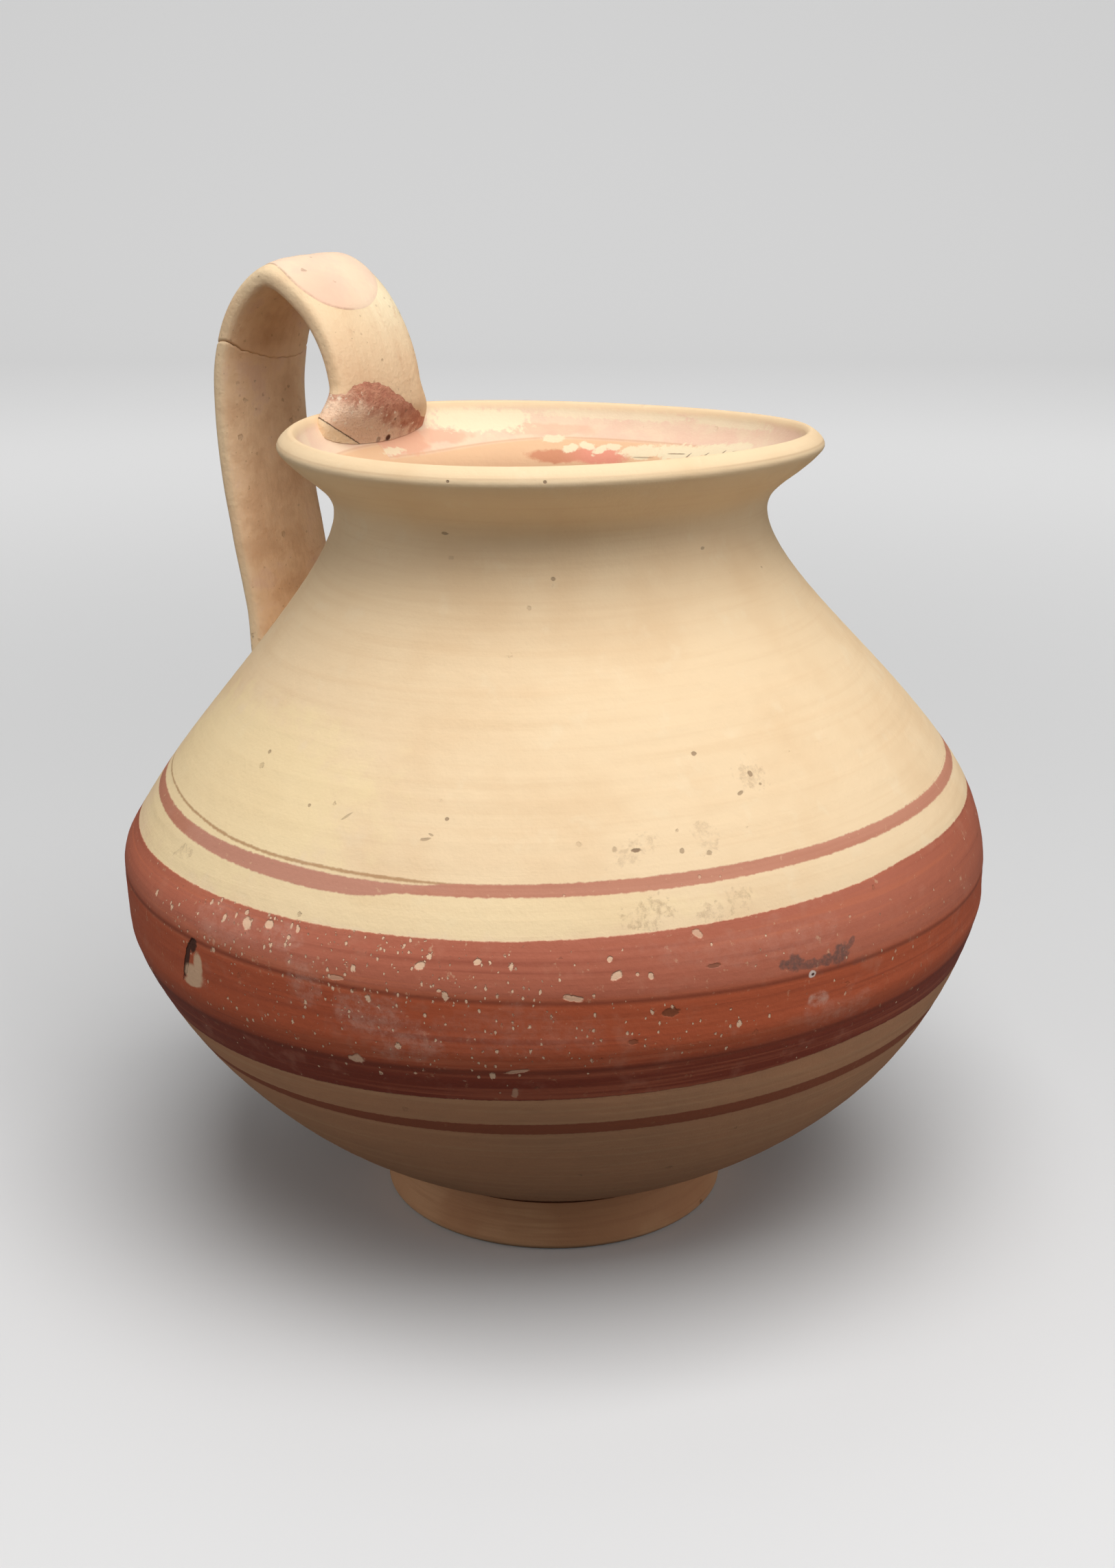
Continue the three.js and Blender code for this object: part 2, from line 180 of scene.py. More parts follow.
# Tones between the colours that a user can change, written as 0 to 255 sRGB
TONES = SimpleNamespace(**{name: in_linear(*srgb) for name, srgb in {
    # The thrown wall
    "pale_slip": (248, 226, 190), "golden_slip": (252, 228, 176), "dark_buff": (204, 150, 112),
    "pale_buff": (224, 178, 134), "dark_streak": (140, 66, 50), "light_streak": (206, 118, 84),
    "dusty_patch": (200, 132, 106), "band_crease": (112, 54, 40), "stripe_streak": (186, 118, 92),
    "mauve": (202, 144, 122), "thin_line": (180, 134, 92), "lower_stripe": (160, 88, 60),
    "haze": (226, 190, 170), "lost_paint": (240, 198, 164), "dark_stain": (112, 84, 76),
    "glint": (230, 208, 196), "glint_pit": (84, 52, 44), "smudge": (150, 118, 88), "pit": (104, 70, 48),
    "wall_grain_pit": (140, 100, 70), "chip_dark": (84, 48, 34), "chip_pale": (232, 190, 154),
    # The mouth and the inside
    "warm_cream": (246, 220, 188), "mouth_wash": (242, 204, 178), "throat": (240, 194, 148),
    "throat_edge": (218, 160, 116), "wedge_brown": (218, 146, 110), "wedge_pink": (238, 156, 132),
    "flaked_slip": (248, 232, 196), "slip_crack": (118, 82, 58), "lip_line": (196, 152, 108),
    "deep_inside": (196, 140, 104),
    # The foot
    "foot_dark": (206, 148, 106), "foot_streak": (190, 132, 94), "foot_rubbed": (236, 192, 150),
    "foot_pit": (126, 84, 58),
    # The strap
    "handle_warm": (238, 200, 158), "handle_light": (252, 236, 198), "handle_flush": (236, 186, 144),
    "inner_face": (240, 200, 162), "pulled_mark": (220, 174, 132), "pinkish": (224, 186, 166),
    "worn_slip": (206, 152, 112), "speck": (150, 106, 74), "handle_pit": (130, 92, 64),
    # The fills
    "fill_light": (216, 154, 124), "whitish_speck": (252, 232, 206), "fill_dark": (150, 98, 76),
    "fill_pit": (110, 72, 54), "faired_cream": (250, 226, 190), "fill_crack": (96, 60, 44),
    "blush": (244, 194, 166), "crown_edge": (166, 122, 88), "crown_pit": (160, 116, 88),
    # The stage
    "mid_grey": (100, 100, 100),
}.items()})


def power(name, description, watts):
    """A lamp's power that a user can change."""
    return FloatProperty(name=name, description=description, default=watts, min=0, unit="POWER")


class JugWallSizes(bpy.types.PropertyGroup):
    """Sizes of the thrown wall and its ring foot."""

    belly_radius: length("Belly radius", "Widest radius of the jug", 93.5)
    belly_height: length("Belly height", "Height of the widest line", 82.3)
    waist_radius: length("Waist radius", "Narrowest radius of the neck", 45.7)
    rim_height: length("Rim height", "Height of the lip's crest", 171.6)
    neck_depth: length("Neck depth", "From the lip's crest down to the waist", 16.5)
    lip_reach: length("Lip reach", "How far the lip stands out past the waist", 11)
    bowl_wall: length("Bowl wall", "Thickness of the wall at the foot", 5.2)
    neck_wall: length("Neck wall", "Thickness of the wall at the waist", 3.5)
    foot_radius: length("Foot radius", "Radius of the ring that the jug stands on", 38.2)
    foot_height: length("Foot height", "Height of the seam between foot and bowl", 11)


class StrapSizes(bpy.types.PropertyGroup):
    """Sizes of the strap handle, its break and its two fills."""

    width: length("Strap width", "Width of the strap", 27.8)
    thickness: length("Strap thickness", "Thickness of the strap", 7)
    finger_gap: length("Finger gap", "Clear width between the strap's two legs", 28.3)
    rise: length("Rise over the rim", "From the lip's crest up to the middle of the strap's crown", 29.2)
    break_depth: length("Break depth", "From the crown down to the mended break", 20.6)
    fill_rise: length("Root fill rise", "How far the root fill climbs over the lip's crest", 4.7)
    inlay_length: length("Crown fill length", "Length of the fill let into the crown", 29)
    inlay_width: length("Crown fill width", "Width of the fill let into the crown", 26)


class JugColours(bpy.types.PropertyGroup):
    """Colours of the clay, slip, paint and fills."""

    cream: colour("Cream slip", "Slip on the shoulder and the lip", 246, 217, 176)
    cream_deep: colour("Deep cream", "Slip where it is thin or stained", 232, 195, 150)
    buff: colour("Buff clay", "Bare clay under the painted band", 212, 154, 114)
    foot: colour("Foot clay", "Clay of the ring foot", 222, 168, 124)
    band_dusty: colour("Dusty band", "Wide band over the crease", 188, 108, 83)
    band_orange: colour("Orange band", "Wide band between the creases", 194, 96, 62)
    band_purple: colour("Purple band", "Lowest part of the wide band", 146, 66, 46)
    stripe: colour("Stripe", "Thin washed stripes", 203, 140, 114)
    wash: colour("Mouth wash", "Worn wash inside the mouth", 238, 172, 138)
    # This brown stands partly for stain and partly for painted shade on the handle's inner face
    stain_and_shade: colour("Brown stain", "Brown stain on the handle", 194, 144, 104)
    red_fill: colour("Red fill", "Fill at the upper root", 200, 134, 108)
    scraped: colour("Scraped fill", "Scraped part of the root fill", 250, 218, 188)
    pink_fill: colour("Pink fill", "Fill in the crown", 243, 210, 184)


class StageSettings(bpy.types.PropertyGroup):
    """The camera, lamps and floor."""

    lens: FloatProperty(name="Lens", description="Focal length in millimetres", default=48.8)
    softbox: power("Softbox", "Power of the overhead softbox", 11)
    front_softbox: power("Front softbox", "Power of the front softbox", 0.8)
    side_softboxes: power("Side softboxes", "Power of each side softbox", 2.1)
    back_softbox: power("Back softbox", "Power of the back softbox", 2.6)
    surround: FloatProperty(name="Surround", description="Strength of the light from all round", default=0.1)
    backdrop: colour("Backdrop", "Pale floor and backdrop as the camera sees them", 226, 226, 226)


def in_millimetres(group):
    """The values of a property group, with its lengths in millimetres instead of metres."""
    values = {}
    for prop in group.bl_rna.properties:
        if prop.identifier in ("rna_type", "name"):
            continue
        value = getattr(group, prop.identifier)
        values[prop.identifier] = value / MM if getattr(prop, "unit", "") == "LENGTH" else value
    return SimpleNamespace(**values)


def smooth(value, low, high):
    """Rises from 0 at low to 1 at high, level at both ends: 3 t squared less 2 t cubed."""
    t = np.clip((value - low) / (high - low), 0, 1)
    return t * t * (3 - 2 * t)


def heading(angle):
    """The unit vector on a heading in degrees from straight outwards, turning upwards."""
    return np.array([math.cos(math.radians(angle)), math.sin(math.radians(angle))])


def bend(start, end, leaves, holds, arrives, settles, steps=200):
    """Points of a cubic Bezier curve that leaves on one heading and arrives on another. Each heading
    is held for a share of the straight distance between the ends."""
    t = np.linspace(0, 1, steps + 1)[:, None]
    start, end = np.array(start, float), np.array(end, float)
    chord = np.linalg.norm(end - start)
    near = start + heading(leaves) * holds * chord
    far = end - heading(arrives) * settles * chord
    return (1 - t) ** 3 * start + 3 * (1 - t) ** 2 * t * near + 3 * (1 - t) * t * t * far + t ** 3 * end


def joined(*lines):
    """Lines that follow one another, without the points that they share."""
    return np.vstack([lines[0]] + [line[1:] for line in lines[1:]])


def lengths_of(line):
    """How far along a line each of its points is."""
    return np.r_[0, np.cumsum(np.linalg.norm(np.diff(line, axis=0), axis=1))]


def set_off(line, distance):
    """The line that lies a distance to the left of another, square to it."""
    along = np.gradient(line, axis=0)
    along /= np.linalg.norm(along, axis=1)[:, None]
    return line + np.stack([-along[:, 1], along[:, 0]], 1) * np.reshape(distance, (-1, 1))


def softened(line, reach):
    """A line with its corners rounded: each point becomes the mean of its neighbours, weighted by a
    bell curve of that reach."""
    at = lengths_of(line)
    even = np.arange(0, at[-1], reach / 5)
    points = np.stack([np.interp(even, at, line[:, k]) for k in (0, 1)], 1)
    offsets = np.arange(-15, 16)
    weights = np.exp(-0.5 * (offsets / 5) ** 2)
    weights /= weights.sum()
    rows = np.clip(np.arange(len(even))[:, None] + offsets, 0, len(even) - 1)
    result = (points[rows] * weights[None, :, None]).sum(1)
    result[0], result[-1] = line[0], line[-1]
    return result


def wall_lines(wall):
    """The outline of the wall's cross-section as radius and rise: one curve each for the bottom, bowl,
    shoulder, flare and lip, with two straight turned facets under the belly. The inside follows the
    outside at the wall's thickness."""
    belly = np.array([wall.belly_radius, wall.belly_height])
    seam = (wall.foot_radius - SEAM_IN, wall.foot_height)
    low_crease, mid_crease = belly - LOW_CREASE, belly - MID_CREASE
    waist = (wall.waist_radius, wall.rim_height - wall.neck_depth)
    lip_edge = (wall.waist_radius + wall.lip_reach, wall.rim_height - LIP_EDGE_DOWN)
    crest = (lip_edge[0] - CREST_IN, wall.rim_height)
    bowl = bend(seam, low_crease, *CURVES["bowl"])
    facets = np.array([low_crease, mid_crease, belly])
    shoulder = bend(belly, waist, *CURVES["shoulder"])
    flare = bend(waist, lip_edge, *CURVES["flare"])
    outside = softened(joined(bowl, facets, shoulder, flare), 0.6)
    thickness = wall.bowl_wall + (wall.neck_wall - wall.bowl_wall) * smooth(
        outside[:, 1], wall.foot_height, waist[1])
    inside = set_off(outside, thickness)
    roll_end = inside[-1] - ROLL_END
    lip = joined(bend(lip_edge, crest, *CURVES["lip"], 60), bend(crest, roll_end, *CURVES["roll"], 30))
    inside = inside[inside[:, 1] < roll_end[1]]
    floor_start = np.searchsorted(lengths_of(inside), FLOOR_START)
    bottom = bend((0, UNDERSIDE_RISE), seam, *CURVES["underside"], 60)
    floor = bend(inside[floor_start], (0, FLOOR_RISE), *CURVES["floor"], 60)
    return SimpleNamespace(
        bottom=bottom, outside=outside, lip=lip, inside=inside[floor_start:][::-1], floor=floor)


def tipped(x, y, tip, way):
    """How far a tip lifts a point: its tangent times the point's distance from the axis on a heading."""
    ahead = heading(way)
    return math.tan(math.radians(tip)) * (x * ahead[0] + y * ahead[1])


def out_of_true(points, wall):
    """The wall as it came off the wheel. The belly tips up on its heading, except at its crease, which
    was turned level, and the mouth on another. The rim is warped, high at two sides and low between
    them: the cosine of twice the angle round it. The bowl and the mouth stand a little off the axis,
    along the belly's heading."""
    x, y, z = points[..., 0], points[..., 1], points[..., 2]
    belly_way = heading(BELLY_WAY)
    waist_height = wall.rim_height - wall.neck_depth
    foot = wall.foot_height + 1
    neck = wall.belly_height + 0.4 * (waist_height - wall.belly_height)
    in_mouth = smooth(z, neck, wall.rim_height)
    levelled = np.exp(-((z - wall.belly_height) / 8) ** 2)
    in_belly = smooth(z, foot, wall.belly_height - 25.5) * (1 - in_mouth) * (1 - levelled)
    half = wall.belly_height / 2
    in_bowl = smooth(z, foot, half) * (1 - smooth(z, half, wall.belly_height))
    lift = in_belly * tipped(x, y, BELLY_TIP, BELLY_WAY) + in_mouth * tipped(x, y, MOUTH_TIP, MOUTH_WAY)
    lift += in_mouth * WARP * np.cos(2 * (np.arctan2(y, x) - math.radians(WARP_WAY)))
    drift = 2.45 * in_bowl - 0.65 * smooth(z, wall.belly_height, wall.rim_height)
    return np.stack([x + drift * belly_way[0], y + drift * belly_way[1], z + lift], -1)


def closed_skin(grid, first, last):
    """Vertices and faces of a skin over a grid of points: quads between neighbouring rows and columns,
    closed round the columns, with a fan to a point at each end. Faces are turned to point outwards,
    by the sign of the volume that they enclose."""
    rows, columns = grid.shape[:2]
    vertices = np.vstack([np.reshape(first, (1, 3)), grid.reshape(-1, 3), np.reshape(last, (1, 3))])
    near = 1 + np.arange(columns)
    beside = 1 + (np.arange(columns) + 1) % columns
    step = (np.arange(rows - 1) * columns)[:, None]
    quads = np.stack([near + step, beside + step, beside + step + columns, near + step + columns], -1)
    quads = quads.reshape(-1, 4)
    top = (rows - 1) * columns
    start_fan = np.stack([np.zeros_like(near), beside, near], -1)
    end_fan = np.stack([np.full_like(near, len(vertices) - 1), near + top, beside + top], -1)
    fans = np.vstack([start_fan, end_fan])
    halves = np.vstack([quads[:, [0, 1, 2]], quads[:, [0, 2, 3]], fans])
    a, b, c = (vertices[halves[:, k]] for k in range(3))
    if np.einsum("ij,ij->i", a, np.cross(b, c)).sum() < 0:
        quads, fans = quads[:, ::-1], fans[:, ::-1]
    return vertices, quads, fans


def add_object(name, mesh, material, replaced, slot):
    """Makes a mesh a piece, smooth but for its creases, and hides the part that it replaces."""
    mesh.shade_smooth()
    mesh.set_sharp_from_angle(angle=math.radians(CREASE_ANGLE))
    mesh.materials.append(material)
    piece = bpy.data.objects.new(name, mesh)
    bpy.context.scene.collection.objects.link(piece)
    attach(piece, "root")
    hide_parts(replaced)


def add_piece(name, grid, first, last, attributes, material, replaced, slot):
    """Puts a closed skin into a new mesh in metres, with one value of each attribute for each point of
    the grid and for its two end points, and makes it a piece."""
    vertices, quads, fans = closed_skin(grid, first, last)
    mesh = bpy.data.meshes.new(name)
    mesh.vertices.add(len(vertices))
    mesh.vertices.foreach_set("co", (vertices * MM).astype(np.float32).ravel())
    corners = np.concatenate([quads.ravel(), fans.ravel()]).astype(np.int32)
    sizes = np.r_[np.full(len(quads), 4), np.full(len(fans), 3)].astype(np.int32)
    starts = np.r_[0, np.cumsum(sizes)[:-1]].astype(np.int32)
    mesh.loops.add(len(corners))
    mesh.loops.foreach_set("vertex_index", corners)
    mesh.polygons.add(len(sizes))
    mesh.polygons.foreach_set("loop_start", starts)
    mesh.polygons.foreach_set("loop_total", sizes)
    mesh.update(calc_edges=True)
    if mesh.validate():
        raise RuntimeError(f"the mesh of {name} had faults")
    for key, values in attributes.items():
        values = np.asarray(values, np.float32)
        kind, field = ("FLOAT", "value") if values.ndim == 1 else ("FLOAT_VECTOR", "vector")
        mesh.attributes.new(key, kind, "POINT").data.foreach_set(field, values.ravel())
    add_object(name, mesh, material, replaced, slot)


def sampled(line, spacing):
    """A line cut into equal steps of about a spacing."""
    at = lengths_of(line)
    even = np.linspace(0, at[-1], max(int(round(at[-1] / spacing)), 1) + 1)
    return np.stack([np.interp(even, at, line[:, k]) for k in (0, 1)], 1)


def relief(rise, azimuth, past):
    """How far the hand-thrown surface stands below its true outline: a few broad hollows round the jug
    and fine turning rings, in millimetres, never below zero."""
    broad = 0.16 * (1 + np.sin(2 * azimuth + 0.6 + rise / 37)) + 0.1 * (1 + np.sin(3 * azimuth - rise / 23))
    rings = 0.015 * (1 + np.sin(2 * math.pi * (rise / 3.1 + 0.2 * np.sin(azimuth))))
    rings += 0.008 * (1 + np.sin(2 * math.pi * rise / 1.27 + 2 * np.sin(azimuth + rise / 9)))
    away_from_lip = smooth(np.abs(past), 2, 14)
    return (broad + rings) * away_from_lip


def stripe_edges(points):
    """For each painted stripe, how far points of the wall lie under its top edge and over its bottom
    edge, in millimetres. A painted height is the height less the tip of the belly, because the stripes
    were laid on while the wheel turned, and each edge wanders with the azimuth."""
    azimuth = np.degrees(np.arctan2(points[:, 1], points[:, 0]))
    painted = points[:, 2] - tipped(points[:, 0], points[:, 1], BELLY_TIP, BELLY_WAY)
    edges = {}
    for name, (tops, bottoms) in STRIPES.items():
        top, bottom = (np.interp(azimuth, *zip(*line), period=360) for line in (tops, bottoms))
        edges[name] = np.stack([top - painted, painted - bottom, 0 * painted], 1)
    return edges


# The painted stripes: (azimuth, painted height) along the top edge and along the bottom edge
STRIPES = {
    "thin_line": (
        [(-160, 104.7), (-134, 104.7), (-125, 104.6), (-112, 103.8), (-103, 103), (-94, 102.6),
         (-84, 102.4), (-75, 102.1), (-66, 101.7), (-58, 101)],
        [(-160, 104.3), (-134, 104.3), (-125, 104.2), (-112, 103.3), (-103, 102.5), (-94, 102),
         (-84, 101.8), (-75, 101.5), (-66, 101.3), (-58, 101.2)]),
    "upper_stripe": (
        [(-150, 102.8), (-130, 102.7), (-116, 102.2), (-105, 101.9), (-90, 101.6), (-80, 101.2),
         (-71, 101.1), (-67, 101.7), (-40, 101.8), (-5, 101.8), (60, 101.9), (140, 102.4)],
        [(-150, 100.6), (-126, 100.3), (-112, 99.7), (-102, 99.2), (-92, 98.8), (-85, 98.5), (-79, 98.5),
         (-76, 98.9), (-73.5, 99.6), (-40, 99.5), (-5, 99.6), (60, 99.5), (140, 100)]),
    "wide_band": (
        [(-110, 93.8), (-90, 93.4), (-71, 93.1), (-59, 92.9), (-35, 93.3), (-12, 93.8), (-5, 94.4), (50, 94),
         (150, 93.6)],
        [(-110, 59.6), (-85, 60), (-60, 60.6), (-31, 61.1), (-12, 62.3), (40, 61.4), (150, 60.2)]),
    "lower_stripe": (
        [(-110, 53.2), (-80, 53.5), (-60, 53.9), (-30, 54.2), (-10, 54.5), (60, 54.2), (150, 53.5)],
        [(-110, 51.4), (-80, 51), (-60, 50.9), (-30, 51.2), (-10, 51.7), (60, 51.6), (150, 51.3)]),
}

# Marks on the wall: (azimuth, rise, half width, half height, turn in degrees, strength). In the mouth,
# CREAM_PATCHES, DARK_FLAKES, FLUSHED and WEDGE have the way past the lip in place of the rise.
PITS = (
    (-104.8, 117.1, 0.5, 0.35, 0, 0.5), (-91, 111, 0.4, 0.3, 0, 0.5), (-71.2, 108.3, 1.2, 0.3, 10, 0.45),
    (-70.6, 109, 0.6, 0.2, -15, 0.4), (-68.8, 111.5, 0.4, 0.3, 0, 0.6), (-43.2, 106.1, 0.9, 0.35, 0, 0.75),
    (-46, 106.6, 0.5, 0.45, 0, 0.35), (-37.2, 105.2, 0.4, 0.4, 0, 0.5), (-31.8, 119.5, 0.5, 0.35, 0, 0.6),
    (-23.8, 114.9, 0.45, 0.5, 0, 0.6), (-26.5, 112.4, 0.6, 0.25, 15, 0.55),
    (-22.8, 113.1, 0.35, 0.25, 0, 0.5),
    (-33.6, 104.3, 0.5, 0.35, 0, 0.4), (-81, 157.1, 0.8, 0.25, 0, 0.5), (-54, 149.3, 0.45, 0.35, 0, 0.5),
    (-14.5, 152, 0.5, 0.3, 0, 0.4), (-74, 169, 0.35, 0.3, 0, 0.7), (-55.5, 169, 0.35, 0.3, 0, 0.7),
    (-84, 110.4, 1.1, 0.2, 35, 0.35), (-40.7, 79, 1.6, 1, 0, 0.65), (-35.5, 86.9, 1.3, 0.4, 0, 0.55),
    (-45, 73.4, 1.1, 0.6, 0, 0.5),
)
SMUDGES = (
    (-23.8, 114.7, 3, 2.2, 0, 0.3), (-43.3, 106.1, 4.5, 1.6, 20, 0.25), (-33.2, 106.9, 2.4, 2.6, 0, 0.25),
    (-111.2, 97.4, 3, 1, 10, 0.35), (-42.7, 96.2, 4, 2.2, 10, 0.4), (-34.5, 95.3, 3.2, 1.6, 0, 0.35),
    (-31, 96.6, 2.6, 1.6, 0, 0.3),
)
STAINS = (
    (-25.4, 84.9, 2.6, 1.3, -5, 0.85), (-22.9, 84, 3, 0.9, -5, 0.75), (-20.6, 84.1, 1.8, 1.1, 10, 0.8),
    (-18.6, 84.3, 2.4, 1.8, 25, 0.85), (-17.2, 85.4, 2, 0.6, 35, 0.7), (-15.5, 82.1, 2, 0.8, 0, 0.25),
)
HAZES = (
    (-87.2, 89.5, 5, 2.2, 0, 0.3), (-83.8, 81.4, 4, 4.5, 0, 0.35), (-75, 76.9, 8, 4.5, 0, 0.4),
    (-71, 72.5, 7, 3.5, 0, 0.35), (-21.5, 75.5, 2.2, 1.6, 0, 0.6), (-19, 71.5, 10, 3, 0, 0.18),
    (-97, 88, 9, 4, 0, 0.22), (-58, 76, 14, 5, 0, 0.14), (-30, 89, 20, 3, 0, 0.12),
)
CHIPS = (
    (-93.2, 90, 1.2, 1.3, 30, 1), (-89.8, 91.1, 0.9, 0.9, 0, 1), (-97.2, 89.7, 0.45, 0.9, 0, 1),
    (-86.5, 89.5, 0.45, 0.55, 0, 0.9), (-85.5, 91.4, 0.4, 0.6, 0, 0.9), (-93.8, 92.2, 0.4, 0.5, 0, 0.9),
    (-86.5, 91.9, 0.3, 0.6, 0, 0.9), (-100.4, 91.8, 0.3, 0.6, 0, 0.9), (-98.8, 92.9, 0.3, 0.5, 0, 0.9),
    (-95.4, 90.8, 0.3, 0.7, 0, 0.9), (-79.5, 83.4, 1.8, 0.5, 5, 0.5), (-69.2, 88.1, 1.2, 0.7, 30, 1),
    (-62.5, 89.5, 0.7, 0.5, 20, 1), (-66.8, 83.7, 0.4, 0.3, 0, 0.9), (-46.8, 86.9, 1.2, 0.65, 30, 1),
    (-43, 86.4, 0.5, 0.6, 0, 0.9), (-47.5, 89.7, 0.6, 0.45, 20, 0.9), (-51.8, 83.1, 1.7, 0.6, -10, 0.8),
    (-44.5, 86.9, 0.35, 0.35, 0, 0.8), (-37, 92.2, 1.2, 0.6, -25, 0.7), (-58.3, 67.9, 2.2, 0.4, 10, 0.6),
    (-77.5, 68.3, 1.6, 1, 10, 0.8), (-58.5, 62.6, 0.6, 1.3, 0, 0.5),
)
CREAM_PATCHES = (
    (147, 5.2, 12, 3.6, -3, 1), (138, 4.4, 5, 2, 0, 0.9), (126, 10.8, 3, 1.1, 0, 0.8),
    (121, 13.4, 2, 1.1, 20, 0.95), (116.5, 12.6, 2.4, 1.1, -20, 0.95), (112.5, 13.6, 2.2, 1.1, 30, 0.95),
    (108.5, 12.6, 2.2, 1, 0, 0.9),
    (99, 13.4, 6, 2, 4, 0.9), (88, 12.6, 8, 2.4, 6, 0.95), (76, 11, 8, 2, 8, 0.9), (68, 9.2, 5, 1.4, 8, 0.8),
    (110, 3.2, 18, 1.4, 0, 0.6), (75, 3, 14, 1.4, 0, 0.6), (177, 12.8, 3.4, 1.1, 0, 0.8),
)
DARK_FLAKES = (
    (84, 13.6, 1.4, 0.22, 60, 0.7), (78, 12.8, 1.1, 0.2, 50, 0.7), (72, 11.4, 1.2, 0.2, 60, 0.7),
    (88, 13.2, 2.4, 0.18, 5, 0.7), (66, 10.4, 2, 0.18, 5, 0.6), (98, 15, 3, 0.18, 3, 0.5),
    (-91, 0.75, 2.4, 0.12, 0, 0.6),
)
GOLDEN = ((-112, 108, 42, 16, 0, 0.55), (-75, 97, 60, 4, 0, 0.35))
MAUVE = ((-92, 101, 34, 8, 0, 0.75),)
BUSY = ((-84, 86, 46, 9, 0, 1), (-66, 74, 60, 8, 0, 0.5))
GLINT, GLINT_PIT = ((-22.8, 82.1, 0.8, 0.75, 0, 1),), ((-22.7, 82, 0.35, 0.3, 0, 1),)
CHIP_DARK = ((-102.6, 80.7, 1.7, 1.1, 50, 1), (-104.2, 77.6, 4.2, 0.7, 62, 1))
CHIP_PALE = ((-101.8, 77.4, 2.4, 1.5, 84, 1), (-103, 75.4, 3.2, 1.8, 0, 1), (-103.3, 74.1, 3.2, 0.9, 6, 1))
FLUSHED = ((172, 10, 8, 4, 0, 0.7), (160, 9.5, 8, 2.4, 0, 0.5), (128, 8, 12, 2, 0, 0.35))
WEDGE = ((125, 15.8, 7, 1.8, 0, 0.9), (113, 15.2, 7.5, 2.4, 0, 0.95))


class Sketch:
    """Lays nodes into one node tree. Wherever a node takes a value, it can be given a socket."""

    def __init__(self, tree):
        self.tree = tree

    def feed(self, socket, value):
        if isinstance(value, bpy.types.NodeSocket):
            self.tree.links.new(value, socket)
        elif socket.type == "RGBA" and len(value) == 3:
            socket.default_value = (*value, 1)
        else:
            socket.default_value = value

    def add(self, kind, inputs=(), **settings):
        """A node of a kind with its settings, and values for its inputs by their names."""
        node = self.tree.nodes.new(kind)
        for key, value in settings.items():
            setattr(node, key, value)
        for key, value in dict(inputs).items():
            self.feed(node.inputs[key], value)
        return node

    def maths(self, operation, *values, clamp=False):
        return self.add("ShaderNodeMath", enumerate(values), operation=operation, use_clamp=clamp).outputs[0]

    def times(self, first, second):
        return self.maths("MULTIPLY", first, second)

    def plus(self, first, second):
        return self.maths("ADD", first, second)

    def less(self, first, second, clamp=False):
        return self.maths("SUBTRACT", first, second, clamp=clamp)

    def scaled(self, value, factor, offset, clamp=False):
        return self.maths("MULTIPLY_ADD", value, factor, offset, clamp=clamp)

    def most(self, first, second):
        return self.maths("MAXIMUM", first, second)

    def vectors(self, operation, *values):
        return self.add("ShaderNodeVectorMath", enumerate(values), operation=operation).outputs[0]

    def measured(self, operation, *values):
        """A single number from vectors, such as a length, a distance or a dot product."""
        return self.add("ShaderNodeVectorMath", enumerate(values), operation=operation).outputs["Value"]

    def combined(self, *values):
        return self.add("ShaderNodeCombineXYZ", enumerate(values)).outputs[0]

    def stretched(self, place, *scale):
        return self.vectors("MULTIPLY", place, scale)

    def fade(self, value, low, high, start=0.0, end=1.0):
        """Carries a value from low..high to start..end, level at both ends."""
        ends = {"Value": value, "From Min": low, "From Max": high, "To Min": start, "To Max": end}
        return self.add("ShaderNodeMapRange", ends, interpolation_type="SMOOTHSTEP").outputs["Result"]

    def spread(self, value, middle, half):
        """1 at the middle, fading to 0 at a half width to both sides."""
        return self.fade(self.maths("ABSOLUTE", self.less(value, middle)), half, 0.0)

    def tint(self, base, mask, tone, share=None):
        """Lays a tone over a base where a mask says, at most at a share of its strength."""
        mask = mask if share is None else self.times(mask, share)
        return self.add("ShaderNodeMix", {0: mask, 6: base, 7: tone}, data_type="RGBA").outputs[2]

    def noise(self, place, scale, detail=2.0, roughness=0.5, distortion=0.0):
        labels = ("Vector", "Scale", "Detail", "Roughness", "Distortion")
        values = zip(labels, (place, scale, detail, roughness, distortion))
        return self.add("ShaderNodeTexNoise", values).outputs["Fac"]

    def cells(self, place, scale):
        return self.add("ShaderNodeTexVoronoi", {"Vector": place, "Scale": scale}).outputs

    def attribute(self, name, output="Fac"):
        return self.add("ShaderNodeAttribute", attribute_name=name).outputs[output]

    def split(self, vector):
        return self.add("ShaderNodeSeparateXYZ", {0: vector}).outputs

    def use(self, tree, **inputs):
        """A shared group placed with its own values, which are named as its inputs are."""
        node = self.tree.nodes.new("ShaderNodeGroup")
        node.node_tree = tree
        for key, value in inputs.items():
            self.feed(node.inputs[key.replace("_", " ").capitalize()], value)
        return node.outputs


def shared_group(name, inputs, outputs, lay):
    """A shader node group that several materials place, made once. Its sockets are named with their
    kinds, and lay draws its nodes from the input sockets and returns the outputs in order."""
    if name in bpy.data.node_groups:
        return bpy.data.node_groups[name]
    kinds = {"value": "NodeSocketFloat", "vector": "NodeSocketVector"}
    tree = bpy.data.node_groups.new(name, "ShaderNodeTree")
    for way, sockets in (("INPUT", inputs), ("OUTPUT", outputs)):
        for label, kind in sockets.items():
            tree.interface.new_socket(label, in_out=way, socket_type=kinds[kind])
    sketch = Sketch(tree)
    entry = tree.nodes.new("NodeGroupInput").outputs
    made = lay(sketch, entry)
    leave = tree.nodes.new("NodeGroupOutput").inputs
    for socket, value in zip(leave, made):
        sketch.feed(socket, value)
    return tree


